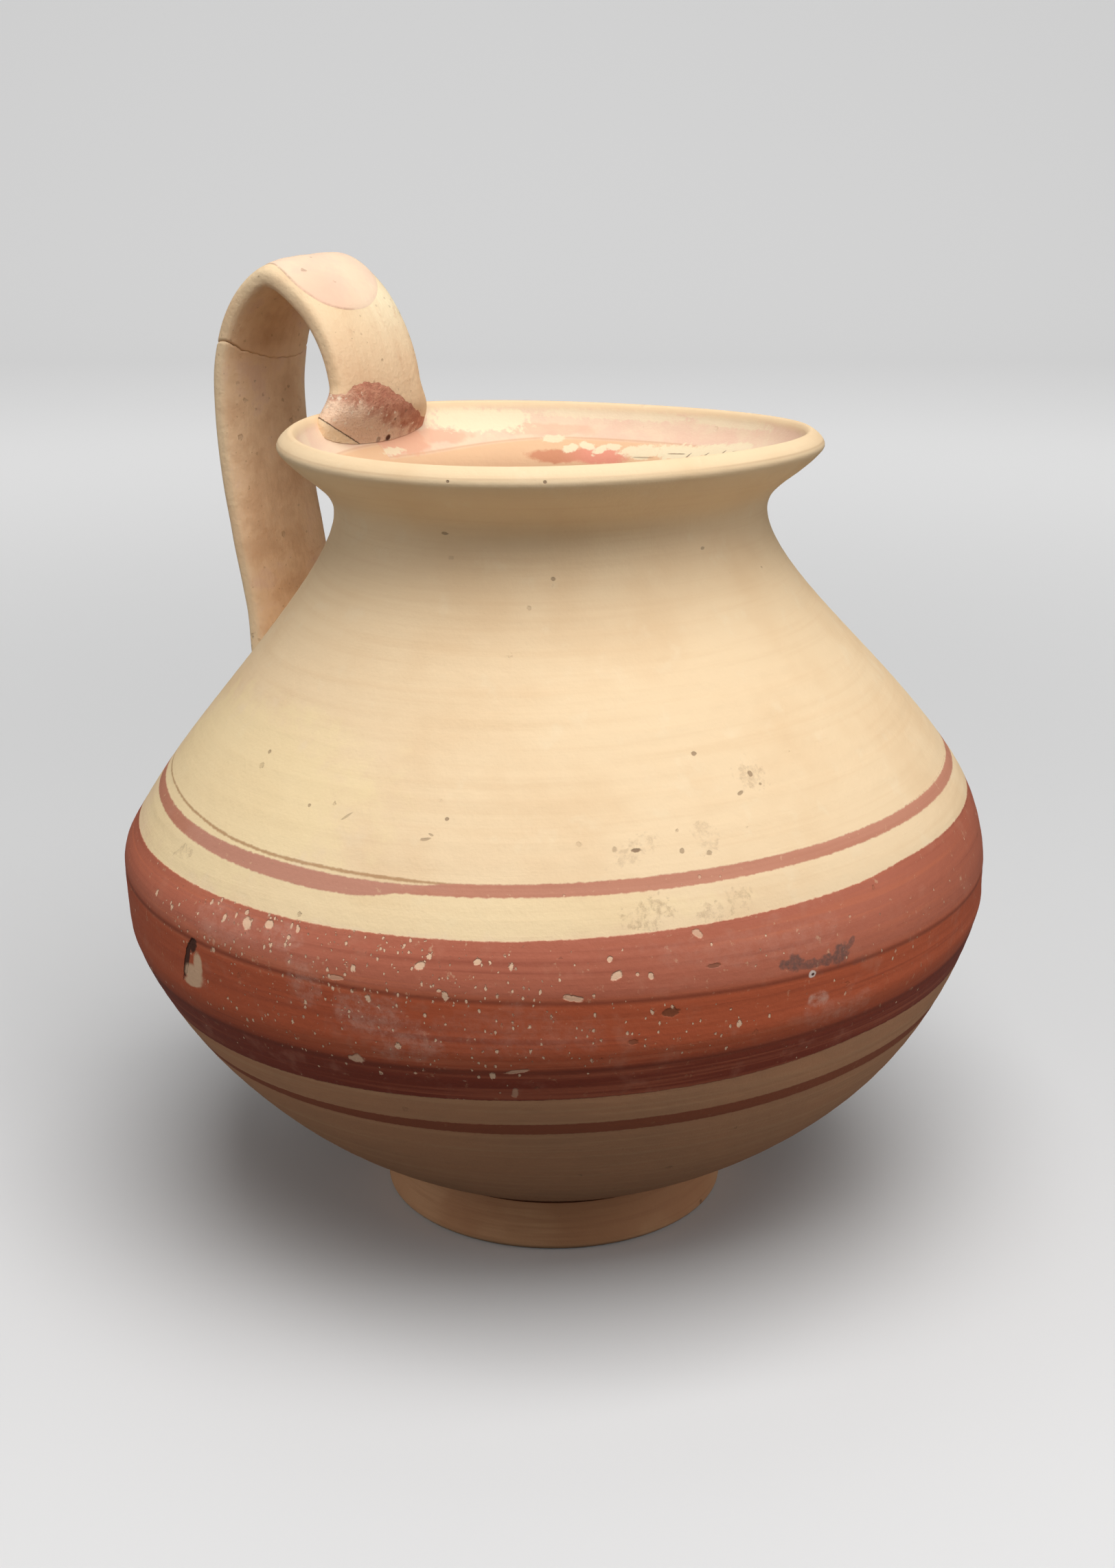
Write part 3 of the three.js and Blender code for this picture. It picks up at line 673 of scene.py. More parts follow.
def wall_position():
    """Where a point lies round the jug: its azimuth in degrees, its distance from the axis, and the
    point of the unit circle on that azimuth, for patterns that close round the jug."""
    def lay(sketch, entry):
        x, y, _ = sketch.split(entry["Place"])
        azimuth = sketch.maths("DEGREES", sketch.maths("ARCTAN2", y, x))
        flat = sketch.vectors("MULTIPLY", entry["Place"], (1, 1, 0))
        radius = sketch.measured("LENGTH", flat)
        return azimuth, radius, sketch.vectors("NORMALIZE", flat)

    outputs = {"Azimuth": "value", "Radius": "value", "Circle": "vector"}
    return shared_group("Place on the wall", {"Place": "vector"}, outputs, lay)


def spot():
    """A ragged oval mark: 1 inside and 0 outside, from the length of the vector of the distances along
    its two half axes, each divided by that half axis, plus a share of a noise."""
    inputs = dict.fromkeys((
        "Azimuth", "Radius", "Rise", "At azimuth", "At rise", "Half width", "Half height", "Turn", "Wobble",
        "Ragged", "Strength"), "value")

    def lay(sketch, entry):
        turned = sketch.maths("WRAP", sketch.less(entry["Azimuth"], entry["At azimuth"]), 180.0, -180.0)
        aside = sketch.times(sketch.maths("RADIANS", turned), entry["Radius"])
        above = sketch.less(entry["Rise"], entry["At rise"])
        angle = sketch.maths("RADIANS", entry["Turn"])
        sine, cosine = sketch.maths("SINE", angle), sketch.maths("COSINE", angle)
        along = sketch.scaled(aside, cosine, sketch.times(above, sine))
        across = sketch.less(sketch.times(above, cosine), sketch.times(aside, sine))
        along = sketch.maths("DIVIDE", along, entry["Half width"])
        across = sketch.maths("DIVIDE", across, entry["Half height"])
        away = sketch.maths("SQRT", sketch.scaled(along, along, sketch.times(across, across)))
        uneven = sketch.times(sketch.less(entry["Wobble"], 0.5), entry["Ragged"])
        inside = sketch.fade(sketch.plus(away, uneven), 1.2, 0.75)
        return (sketch.times(inside, entry["Strength"]),)

    return shared_group("Ragged spot", inputs, {"Mask": "value"}, lay)


def flecks():
    """Scattered flecks: cells of the given size in millimetres, of which a share holds a fleck that is
    as big as the cell's own random value says."""
    def lay(sketch, entry):
        size = sketch.maths("DIVIDE", 1.0, entry["Cell"])
        cell = sketch.cells(entry["Place"], size)
        chance, bigness, _ = sketch.split(cell["Color"])
        uneven = sketch.less(sketch.noise(entry["Place"], sketch.times(size, 3.0), 3, 0.7), 0.5)
        wide = sketch.scaled(sketch.maths("POWER", bigness, 2.0), 0.3, 0.1)
        away = sketch.scaled(uneven, 0.7, cell["Distance"])
        inside = sketch.fade(sketch.maths("DIVIDE", away, wide), 1.1, 0.7)
        chosen = sketch.fade(sketch.less(entry["Share"], chance), -0.01, 0.01)
        return (sketch.times(inside, chosen),)

    inputs = {"Place": "vector", "Cell": "value", "Share": "value"}
    return shared_group("Flecks", inputs, {"Mask": "value"}, lay)


def clay_grain():
    """The fired clay's surface: a fine grain, sparse pits, and slow changes of tone. Height is in
    millimetres."""
    def lay(sketch, entry):
        place = entry["Place"]
        tone = sketch.noise(place, 0.045, 3, 0.55)
        fine = sketch.noise(place, 1.6, 3, 0.6)
        coarse = sketch.noise(place, 0.35, 2, 0.5)
        pits = sketch.use(flecks(), place=place, cell=2.1, share=entry["Pits"])["Mask"]
        height = sketch.scaled(fine, 0.05, sketch.times(coarse, 0.12))
        height = sketch.scaled(pits, -0.12, height)
        return height, tone, fine, pits

    outputs = dict.fromkeys(("Height", "Tone", "Fine", "Pits"), "value")
    return shared_group("Clay grain", {"Place": "vector", "Pits": "value"}, outputs, lay)


def turning_marks():
    """Marks of the wheel: noise on a cylinder that is long round the jug and short up it, so that it
    closes behind the jug. Height is in millimetres."""
    def lay(sketch, entry):
        up = sketch.combined(0, 0, entry["Rise"])

        def rings(round_the_jug, up_the_jug, detail):
            circle = sketch.stretched(entry["Circle"], round_the_jug, round_the_jug, 0)
            raised = sketch.stretched(up, 0, 0, up_the_jug)
            return sketch.noise(sketch.vectors("ADD", circle, raised), 1.0, detail)

        broad, fine = rings(0.9, 0.16, 2), rings(1.6, 1.1, 3)
        hair = rings(6.0, 3.4, 2)
        height = sketch.scaled(broad, 0.2, sketch.times(fine, 0.04))
        return sketch.scaled(hair, 0.008, height), broad, fine

    outputs = dict.fromkeys(("Height", "Broad", "Streak"), "value")
    return shared_group("Turning marks", {"Circle": "vector", "Rise": "value"}, outputs, lay)


def worn_edge():
    """How fully a painted stripe covers: 1 inside and 0 outside, from its distances to both edges, which
    waver, and rubbed thin in places."""
    def lay(sketch, entry):
        under_top, over_bottom, _ = sketch.split(entry["Edges"])
        inside = sketch.maths("MINIMUM", under_top, over_bottom)
        waver = sketch.less(sketch.noise(entry["Place"], 0.9, 3, 0.6), 0.5)
        inside = sketch.scaled(waver, entry["Waver"], inside)
        covered = sketch.fade(inside, -0.12, 0.22)
        rubbed = sketch.fade(sketch.noise(entry["Place"], 0.55, 4, 0.65), 0.62, 0.75)
        left = sketch.less(1.0, sketch.times(rubbed, entry["Rubbed"]))
        return (sketch.times(covered, left),)

    inputs = {"Edges": "vector", "Place": "vector", "Waver": "value", "Rubbed": "value"}
    return shared_group("Worn edge", inputs, {"Cover": "value"}, lay)


def new_material(name, roughness, specular):
    """A material with only its shader set up, a sketch of its tree, places on the piece in millimetres,
    and the colours that a user can change."""
    material = bpy.data.materials.new(name)
    material.use_nodes = True
    sketch = Sketch(material.node_tree)
    shader = material.node_tree.nodes["Principled BSDF"]
    shader.inputs["Roughness"].default_value = roughness
    shader.inputs["Specular IOR Level"].default_value = specular
    place = sketch.stretched(sketch.add("ShaderNodeTexCoord").outputs["Object"], 1000, 1000, 1000)
    return material, sketch, shader, place, in_millimetres(bpy.context.scene.jug_colours)


def finish(sketch, shader, base, height, roughness=None):
    """Joins a material's colour, its relief in millimetres and its roughness to its shader."""
    sketch.feed(shader.inputs["Base Color"], base)
    if roughness is not None:
        sketch.feed(shader.inputs["Roughness"], roughness)
    bump = sketch.add("ShaderNodeBump", {"Height": height, "Distance": MM, "Strength": 1.0})
    sketch.feed(shader.inputs["Normal"], bump.outputs["Normal"])


def marked(sketch, marks, azimuth, radius, rise, wobble, ragged):
    """The strongest of several ragged spots."""
    strongest = 0.0
    for at_azimuth, at_rise, half_width, half_height, turn, strength in marks:
        mask = sketch.use(
            spot(), azimuth=azimuth, radius=radius, rise=rise, at_azimuth=at_azimuth, at_rise=at_rise,
            half_width=half_width, half_height=half_height, turn=turn, wobble=wobble, ragged=ragged,
            strength=strength)["Mask"]
        strongest = sketch.most(mask, strongest)
    return strongest


def painted_slip():
    """The wall's finish: cream slip over buff clay, the painted band and stripes with their wear, flecks,
    scuffs and stains, and a worn wash inside the mouth."""
    material, sketch, shader, place, colours = new_material("Painted slip", 0.62, 0.25)
    azimuth, radius, circle = sketch.use(wall_position(), place=place)
    rise, past = sketch.attribute("rise"), sketch.attribute("past_lip")
    grain = sketch.use(clay_grain(), place=place, pits=0.012)
    wheel = sketch.use(turning_marks(), circle=circle, rise=rise)
    wobble = sketch.noise(place, 0.7, 3, 0.6)
    patchy = sketch.noise(place, 0.16, 3, 0.6)

    def spots(marks, ragged, level=rise, uneven=wobble):
        return marked(sketch, marks, azimuth, radius, level, uneven, ragged)

    cream = sketch.tint(colours.cream, sketch.fade(grain["Tone"], 0.4, 0.75, 0, 0.45), colours.cream_deep)
    cream = sketch.tint(cream, sketch.fade(wheel["Streak"], 0.45, 0.75, 0, 0.22), colours.cream_deep)
    cream = sketch.tint(cream, sketch.fade(patchy, 0.56, 0.72, 0, 0.3), TONES.pale_slip)
    bare = sketch.tint(colours.buff, sketch.fade(grain["Tone"], 0.35, 0.7), TONES.dark_buff)
    bare = sketch.tint(bare, sketch.fade(wheel["Streak"], 0.45, 0.7, 0, 0.3), TONES.pale_buff)
    cream = sketch.tint(cream, spots(GOLDEN, 1.0, uneven=patchy), TONES.golden_slip)
    ground = sketch.tint(cream, sketch.fade(rise, *SLIP_ENDS), bare)

    band = sketch.tint(colours.band_dusty, sketch.fade(rise, 84, 81.2), colours.band_orange)
    band = sketch.tint(band, sketch.fade(rise, 70.5, 66), colours.band_purple)
    streaks = sketch.scaled(wheel["Broad"], 0.5, sketch.times(wheel["Streak"], 0.5))
    band = sketch.tint(band, sketch.fade(streaks, 0.5, 0.72, 0, 0.55), TONES.dark_streak)
    band = sketch.tint(band, sketch.fade(streaks, 0.48, 0.34, 0, 0.5), TONES.light_streak)
    band = sketch.tint(band, sketch.fade(patchy, 0.55, 0.75, 0, 0.35), TONES.dusty_patch)
    # Painted shade: a darker tone along the band's two creases, where the facets turn down from the light
    crease = sketch.most(sketch.spread(rise, UPPER_CREASE, 0.9), sketch.spread(rise, LOWER_CREASE, 1.1))
    band = sketch.tint(band, crease, TONES.band_crease, 0.55)
    stripe = sketch.tint(colours.stripe, sketch.fade(streaks, 0.4, 0.65, 0, 0.5), TONES.stripe_streak)
    stripe = sketch.tint(stripe, spots(MAUVE, 1.0, uneven=patchy), TONES.mauve)

    covers = {}
    for name in STRIPES:
        edges = sketch.attribute(name, "Vector")
        covers[name] = sketch.use(worn_edge(), place=place, waver=0.5, rubbed=0.35, edges=edges)["Cover"]
    base = sketch.tint(ground, covers["thin_line"], TONES.thin_line, 0.8)
    base = sketch.tint(base, covers["upper_stripe"], stripe)
    base = sketch.tint(base, covers["lower_stripe"], TONES.lower_stripe, 0.95)
    base = sketch.tint(base, covers["wide_band"], band)

    cloudy = sketch.fade(sketch.noise(place, 0.45, 5, 0.75), 0.3, 0.75)
    haze = sketch.times(spots(HAZES, 2.2, uneven=patchy), cloudy)
    base = sketch.tint(base, haze, TONES.haze)
    share = sketch.scaled(spots(BUSY, 1.2, uneven=patchy), 0.6, 0.04)
    upright = sketch.stretched(place, 1, 1, 0.7)
    small = sketch.use(flecks(), place=upright, cell=0.85, share=share)["Mask"]
    large = sketch.use(flecks(), place=upright, cell=1.7, share=sketch.times(share, 0.4))["Mask"]
    lost = sketch.most(small, large)
    speckled = sketch.most(covers["wide_band"], sketch.times(covers["upper_stripe"], 0.5))
    lost = sketch.times(lost, speckled)
    lost = sketch.most(lost, spots(CHIPS, 1.6))
    base = sketch.tint(base, lost, TONES.lost_paint)
    stained = sketch.times(spots(STAINS, 1.5), sketch.fade(grain["Fine"], 0.3, 0.6, 0.6, 1))
    base = sketch.tint(base, stained, TONES.dark_stain)
    base = sketch.tint(base, spots(GLINT, 1.0), TONES.glint)
    base = sketch.tint(base, spots(GLINT_PIT, 0.5), TONES.glint_pit)

    smudged = sketch.times(spots(SMUDGES, 3.0), sketch.fade(sketch.noise(place, 0.6, 5, 0.75), 0.4, 0.65))
    base = sketch.tint(base, smudged, TONES.smudge)
    pitted = spots(PITS, 1.4)
    base = sketch.tint(base, pitted, TONES.pit)
    base = sketch.tint(base, grain["Pits"], TONES.wall_grain_pit, 0.3)

    chip_dark = spots(CHIP_DARK, 0.9)
    base = sketch.tint(base, chip_dark, TONES.chip_dark)
    base = sketch.tint(base, spots(CHIP_PALE, 0.4), TONES.chip_pale)

    inside = sketch.fade(past, 1.2, 3.2)
    wash = sketch.fade(sketch.noise(place, 0.09, 4, 0.62, 0.6), 0.36, 0.64, 0.2, 0.9)
    mouth = sketch.tint(TONES.warm_cream, wash, TONES.mouth_wash)
    curve = sketch.less(past, sketch.fade(azimuth, 172, 120, 14.5, 10.5))
    mouth = sketch.tint(mouth, sketch.fade(curve, -0.6, 0.8, 0, 0.8), TONES.throat)
    mouth = sketch.tint(mouth, sketch.spread(curve, -0.2, 0.5), TONES.throat_edge, 0.4)
    mouth = sketch.tint(mouth, spots(FLUSHED, 1.6, past, patchy), colours.wash)
    reddish = sketch.tint(TONES.wedge_brown, sketch.fade(azimuth, 126, 114), TONES.wedge_pink)
    mouth = sketch.tint(mouth, spots(WEDGE, 0.9, past), reddish)
    mouth = sketch.tint(mouth, spots(CREAM_PATCHES, 1.7, past), TONES.flaked_slip)
    base = sketch.tint(base, inside, mouth)
    base = sketch.tint(base, spots(DARK_FLAKES, 1.2, past), TONES.slip_crack)
    # Painted shade: a darker line along the crease in the lip's outer face
    lip_line = sketch.times(sketch.spread(past, -3.3, 0.4), sketch.fade(wheel["Broad"], 0.35, 0.6, 0.1, 0.35))
    base = sketch.tint(base, lip_line, TONES.lip_line)
    # Painted shade: darker deep inside the jug
    base = sketch.tint(base, sketch.fade(past, 22, 60), TONES.deep_inside)

    height = sketch.plus(grain["Height"], wheel["Height"])
    height = sketch.scaled(sketch.most(pitted, lost), -0.15, height)
    height = sketch.scaled(covers["wide_band"], 0.05, height)
    height = sketch.scaled(chip_dark, -0.6, height)
    glossy = sketch.less(covers["wide_band"], sketch.most(lost, haze), clamp=True)
    rough = sketch.fade(glossy, 0, 1, 0.68, 0.5)
    rough = sketch.scaled(grain["Fine"], 0.12, sketch.less(rough, 0.05))
    finish(sketch, shader, base, height, rough)
    return material


def foot_clay():
    """The ring foot's finish: bare orange clay, turned and darker in places, with a highlight painted round
    its bottom edge.
    """
    material, sketch, shader, place, colours = new_material("Foot clay", 0.7, 0.3)
    circle = sketch.use(wall_position(), place=place)["Circle"]
    rise = sketch.split(place)[2]
    grain = sketch.use(clay_grain(), place=place, pits=0.04)
    wheel = sketch.use(turning_marks(), circle=circle, rise=rise)
    base = sketch.tint(colours.foot, sketch.fade(grain["Tone"], 0.35, 0.7), TONES.foot_dark)
    base = sketch.tint(base, sketch.fade(wheel["Streak"], 0.42, 0.7, 0, 0.4), TONES.foot_streak)
    # Painted highlight: a paler line round the foot's bottom edge
    base = sketch.tint(base, sketch.fade(rise, 1.6, 0.3, 0, 0.5), TONES.foot_rubbed)
    base = sketch.tint(base, grain["Pits"], TONES.foot_pit, 0.5)
    finish(sketch, shader, base, sketch.plus(grain["Height"], wheel["Height"]))
    return material


def handle_slip():
    """The strap's finish: thin cream slip over orange clay, brown on the inner face, partly stain and partly
    painted shade under the arch, with pits and specks and long marks of the pulling."""
    material, sketch, shader, place, colours = new_material("Handle slip", 0.66, 0.3)
    along, across, face = (sketch.attribute(name) for name in ("along", "across", "outer_face"))
    laid = sketch.combined(sketch.times(along, 0.03), sketch.times(across, 0.42), face)
    pulled = sketch.noise(laid, 1.0, 3, 0.55)
    grain = sketch.use(clay_grain(), place=place, pits=0.06)
    wobble = sketch.noise(place, 0.7, 3, 0.6)
    patchy = sketch.noise(place, 0.11, 4, 0.6)
    base = sketch.tint(colours.cream, sketch.fade(grain["Tone"], 0.4, 0.7, 0, 0.8), TONES.handle_warm)
    outer = sketch.fade(face, 0.0, 0.6)
    light = sketch.times(sketch.times(sketch.spread(along, 118, 18), sketch.fade(across, -7, 6)), outer)
    base = sketch.tint(base, light, TONES.handle_light, 0.85)
    warm = sketch.times(sketch.fade(sketch.scaled(sketch.less(patchy, 0.5), 30.0, along), 112, 134), outer)
    base = sketch.tint(base, warm, TONES.handle_flush, 0.3)
    # The inner face is darkened and browned in patches: partly stain, partly painted shade under the arch
    inner = sketch.fade(face, 0.1, -0.5)
    base = sketch.tint(base, inner, TONES.inner_face, 0.5)
    stained = sketch.times(inner, sketch.fade(patchy, 0.38, 0.72))
    base = sketch.tint(base, stained, colours.stain_and_shade, 0.45)
    base = sketch.tint(base, sketch.fade(pulled, 0.5, 0.72, 0, 0.2), TONES.pulled_mark)
    pinkish = sketch.times(sketch.fade(patchy, 0.5, 0.32), inner)
    base = sketch.tint(base, pinkish, TONES.pinkish, 0.45)
    worn = sketch.fade(sketch.noise(place, 0.3, 4, 0.65), 0.56, 0.75, 0, 0.3)
    base = sketch.tint(base, worn, TONES.worn_slip)
    specks = sketch.use(flecks(), place=place, cell=1.1, share=0.14)["Mask"]
    base = sketch.tint(base, specks, TONES.speck, 0.3)
    base = sketch.tint(base, grain["Pits"], TONES.handle_pit, 0.3)
    height = sketch.scaled(pulled, 0.2, grain["Height"])
    height = sketch.scaled(wobble, 0.12, height)
    finish(sketch, shader, base, height, sketch.fade(grain["Fine"], 0.3, 0.7, 0.58, 0.76))
    return material


def root_fill():
    """The root fill's finish: red-brown and scraped, pale and grey where it was rubbed down at its lower
    front, with whitish specks and a dark notch and crack at its foot."""
    material, sketch, shader, place, colours = new_material("Red fill", 0.82, 0.2)
    across = sketch.attribute("across")
    level = sketch.split(place)[2]
    rough_noise = sketch.noise(place, 0.5, 4, 0.7)
    fine = sketch.noise(place, 2.2, 3, 0.6)
    grain = sketch.use(clay_grain(), place=place, pits=0.2)
    base = sketch.tint(colours.red_fill, sketch.fade(rough_noise, 0.35, 0.65), TONES.fill_light)
    # The rubbed zone lies below a line that falls towards the back edge.
    rubbed = sketch.less(sketch.scaled(across, RUBBED_FALL, RUBBED_LEVEL), level)
    broad = sketch.scaled(sketch.noise(place, 0.25, 2, 0.5), 8.0, sketch.times(rough_noise, 4.0))
    rubbed = sketch.plus(sketch.less(broad, 6.0), rubbed)
    scraped = sketch.fade(rubbed, -3.4, 2.2)
    base = sketch.tint(base, scraped, colours.scraped, 0.9)
    share = sketch.fade(rubbed, -5.0, -1.0, 0.05, 0.6)
    pale = sketch.use(flecks(), place=place, cell=1.3, share=share)["Mask"]
    base = sketch.tint(base, pale, TONES.whitish_speck, 0.75)
    base = sketch.tint(base, sketch.fade(fine, 0.56, 0.7, 0, 0.35), TONES.fill_dark)
    base = sketch.tint(base, grain["Pits"], TONES.fill_pit, 0.5)
    # Under a slanting cut the fill is faired into the lip with cream, and a crack runs along the cut.
    cut = sketch.plus(sketch.measured("DOT_PRODUCT", place, FILL_CUT), FILL_CUT_AT)
    cut = sketch.scaled(sketch.less(fine, 0.5), 0.5, cut)
    base = sketch.tint(base, sketch.fade(cut, -0.1, 0.1), TONES.faired_cream)
    crack = sketch.spread(cut, 0, 0.2)
    notch = sketch.measured("DISTANCE", place, FILL_NOTCH)
    crack = sketch.most(sketch.times(crack, 0.8), sketch.fade(notch, 1.0, 0.45))
    base = sketch.tint(base, crack, TONES.fill_crack)
    height = sketch.scaled(rough_noise, 0.5, sketch.times(fine, 0.16))
    height = sketch.scaled(crack, -0.4, sketch.plus(height, grain["Height"]))
    finish(sketch, shader, base, height)
    return material


def crown_fill():
    """The crown fill's finish: chalky pink, toned in with cream, with a thin dark line round its edge,
    strongest at the front: partly a hairline crack and partly painted shadow of its raised edge."""
    material, sketch, shader, place, colours = new_material("Pink fill", 0.74, 0.25)
    along, across, oval = (sketch.attribute(name) for name in ("along", "across", "oval"))
    patchy = sketch.noise(place, 0.14, 4, 0.6)
    grain = sketch.use(clay_grain(), place=place, pits=0.06)
    base = sketch.tint(colours.pink_fill, sketch.fade(patchy, 0.36, 0.6, 0.2, 0.9), TONES.warm_cream)
    front, lower = sketch.fade(across, 4, -8), sketch.fade(along, 103, 113)
    base = sketch.tint(base, sketch.times(lower, front), TONES.blush, 0.55)
    # A thin dark line round the edge, mostly on the front: partly a hairline crack, partly painted shadow
    broken = sketch.fade(sketch.noise(place, 0.5, 3, 0.6), 0.35, 0.6, 0.3, 1)
    edge = sketch.times(sketch.fade(oval, 0.955, 0.99), broken)
    seen = sketch.scaled(front, 0.5, sketch.times(lower, 0.03), clamp=True)
    base = sketch.tint(base, sketch.times(edge, seen), TONES.crown_edge)
    base = sketch.tint(base, grain["Pits"], TONES.crown_pit, 0.4)
    finish(sketch, shader, base, grain["Height"])
    return material


def pale_backdrop(rgb):
    """A pale matt sweep. Only the camera sees it pale, and to other rays it is a mid grey, so that it
    throws little light up on the piece."""
    material, sketch, shader, place, _ = new_material("Pale backdrop", 0.9, 0.1)
    seen = sketch.add("ShaderNodeLightPath").outputs["Is Camera Ray"]
    sketch.feed(shader.inputs["Base Color"], sketch.tint(TONES.mid_grey, seen, rgb))
    glow = sketch.times(sketch.fade(sketch.measured("LENGTH", place), *GLOW_REACH), seen)
    sketch.feed(shader.inputs["Emission Color"], rgb)
    sketch.feed(shader.inputs["Emission Strength"], sketch.times(glow, BACKDROP_GLOW))
    return material


class JUG_OT_body(bpy.types.Operator):
    """Builds the thrown wall: its outline turned round the axis, with the unevenness of hand throwing"""

    bl_idname = "jug.body"
    bl_label = "Thrown body"

    def execute(self, context):
        wall = in_millimetres(context.scene.jug_wall)
        lines = wall_lines(wall)
        outline = joined(
            sampled(lines.bottom, 2.4), sampled(lines.outside, 0.95), sampled(lines.lip, 0.55),
            sampled(lines.inside, 2.3), sampled(lines.floor, 2.8))
        at = lengths_of(outline)
        past = at - at[np.argmax(outline[:, 1])]
        azimuth = np.linspace(-math.pi, math.pi, BODY_COLUMNS, endpoint=False)
        radius, rise = outline[1:-1, :1], outline[1:-1, 1:]
        rise_grid, past_grid = rise + 0 * azimuth, past[1:-1, None] + 0 * azimuth
        edge = np.gradient(outline, axis=0)[1:-1]
        edge /= np.linalg.norm(edge, axis=1)[:, None]
        below = relief(rise, azimuth, past_grid)
        worn = radius - edge[:, 1:] * below
        turned = np.stack([worn * np.cos(azimuth), worn * np.sin(azimuth), rise + edge[:, :1] * below], -1)
        grid = out_of_true(turned, wall)
        ends = [(0, 0, outline[0, 1]), (0, 0, outline[-1, 1])]
        attributes = {
            "rise": np.r_[outline[0, 1], rise_grid.ravel(), outline[-1, 1]],
            "past_lip": np.r_[past[0], past_grid.ravel(), past[-1]],
            **stripe_edges(np.vstack([ends[:1], grid.reshape(-1, 3), ends[1:]])),
        }
        add_piece("jug_body", grid, *ends, attributes, painted_slip(), "body", "slip_body")
        return {"FINISHED"}


class JUG_OT_foot_ring(bpy.types.Operator):
    """Builds the ring foot: a spreading ring whose top follows the underside of the bowl"""

    bl_idname = "jug.foot_ring"
    bl_label = "Foot ring"

    def execute(self, context):
        wall = in_millimetres(context.scene.jug_wall)
        under = wall_lines(wall).bottom - (0, SEAT_DROP)
        outer, inner, soft = wall.foot_radius, wall.foot_radius - FOOT_THICKNESS, FOOT_EDGE
        seat_radii = np.linspace(outer - 2, inner - 1.5, 12)
        seat = np.stack([seat_radii, np.interp(seat_radii, under[:, 0], under[:, 1])], 1)
        outer_edge = bend((outer - soft, 0), (outer, soft), 0, 0.35, 90, 0.35, 6)
        inner_edge = bend((inner, soft), (inner + soft, 0), 270, 0.35, 0, 0.35, 6)
        outer_side = sampled(np.array([outer_edge[-1], seat[0]]), 0.8)
        inner_side = sampled(np.array([seat[-1], inner_edge[0]]), 0.8)
        bearing = sampled(np.array([inner_edge[-1], outer_edge[0]]), 1)
        ring = joined(outer_edge, outer_side, seat, inner_side, inner_edge, bearing)[:-1]
        azimuth = np.linspace(-math.pi, math.pi, FOOT_COLUMNS, endpoint=False)
        grid = np.stack([
            ring[:, :1] * np.cos(azimuth), ring[:, :1] * np.sin(azimuth), ring[:, 1:] + 0 * azimuth], -1)
        add_ring("jug_foot_ring", grid, foot_clay(), "foot_ring", "foot_clay")
        return {"FINISHED"}


def add_ring(name, grid, material, replaced, slot):
    """Puts a skin closed both ways, like a tyre, into a new mesh in metres, and makes it a piece."""
    rows, columns = grid.shape[:2]
    row = np.arange(rows)[:, None]
    column = np.arange(columns)
    below, beside = (row + 1) % rows, (column + 1) % columns
    row, below = row * columns, below * columns
    quads = np.stack([row + column, row + beside, below + beside, below + column], -1)
    mesh = bpy.data.meshes.new(name)
    mesh.from_pydata((grid.reshape(-1, 3) * MM).tolist(), [], quads.reshape(-1, 4).tolist())
    add_object(name, mesh, material, replaced, slot)


def strap_path(wall, strap):
    """The strap's middle line in the handle's upright plane, as distance from the axis and rise: out of
    the shoulder, up the back, over the arch and down on to the slope inside the mouth, then straight
    on into the wall. Also the lengths along it at which the crown and the landing lie."""
    lines = wall_lines(wall)
    rim_leg = wall.waist_radius + wall.lip_reach - RIM_LEG_IN
    spring = (rim_leg + strap.thickness + strap.finger_gap, wall.rim_height + strap.rise - ARCH_HEIGHT)
    crown = ((rim_leg + spring[0]) / 2 + CROWN_BACK, wall.rim_height + strap.rise)
    root_height = wall.belly_height + ROOT_OVER_BELLY
    root = np.array([np.interp(root_height, lines.outside[:, 1], lines.outside[:, 0]), root_height])
    start = root - ROOT_DEPTH * heading(CURVES["strap_root"][0])
    rim_spring, landing = (rim_leg, spring[1]), (rim_leg, wall.rim_height - LANDING_DOWN)
    back = joined(bend(start, spring, *CURVES["strap_root"]), bend(spring, crown, *CURVES["strap_back"]))
    front = joined(back, bend(crown, rim_spring, *CURVES["strap_front"]), np.array([rim_spring, landing]))
    line = sampled(joined(front, np.array([landing, landing - np.array([0, PAST_LANDING])])), 0.05)
    return SimpleNamespace(
        line=line, at=lengths_of(line), crown=lengths_of(back)[-1], landing=lengths_of(front)[-1])


def rounded(share, power=STRAP_POWER):
    """A share of a superellipse's half width: its own sign, and two over the power as its power."""
    return np.sign(share) * np.abs(share) ** (2 / power)


def section_turns(strap):
    """Angles at which the strap's section has equal steps round its outline, starting on its back edge."""
    fine = np.linspace(0, 2 * math.pi, 20001)
    wide, deep = strap.width / 2 * rounded(np.cos(fine)), strap.thickness / 2 * rounded(np.sin(fine))
    at = lengths_of(np.stack([wide, deep], 1))
    return np.interp((np.arange(STRAP_COLUMNS) + 0.5) / STRAP_COLUMNS * at[-1], at, fine)


def crown_oval(path, strap, along, across):
    """How far out of the crown fill's middle a point of the strap lies, 1 being its edge: a slightly
    ragged superellipse, set aside of the strap's middle and skewed along it."""
    ahead = along - path.crown - INLAY_PAST
    middle = INLAY_ASIDE - INLAY_SKEW * ahead
    round_it = np.arctan2(across, ahead)
    ragged = 1 + 0.02 * np.sin(5 * round_it + 1) + 0.012 * np.sin(11 * round_it)
    lengthways = np.abs(ahead) / (strap.inlay_length / 2)
    sideways = np.abs(across - middle) / (strap.inlay_width / 2)
    return ragged * (lengthways ** INLAY_POWER + sideways ** INLAY_POWER) ** (1 / INLAY_POWER)


def crown_recess(oval):
    """Depth of the bed under the crown fill, feathered out before the fill's edge."""
    return BED_DEPTH * (1 - smooth(oval, *BED_EDGE))


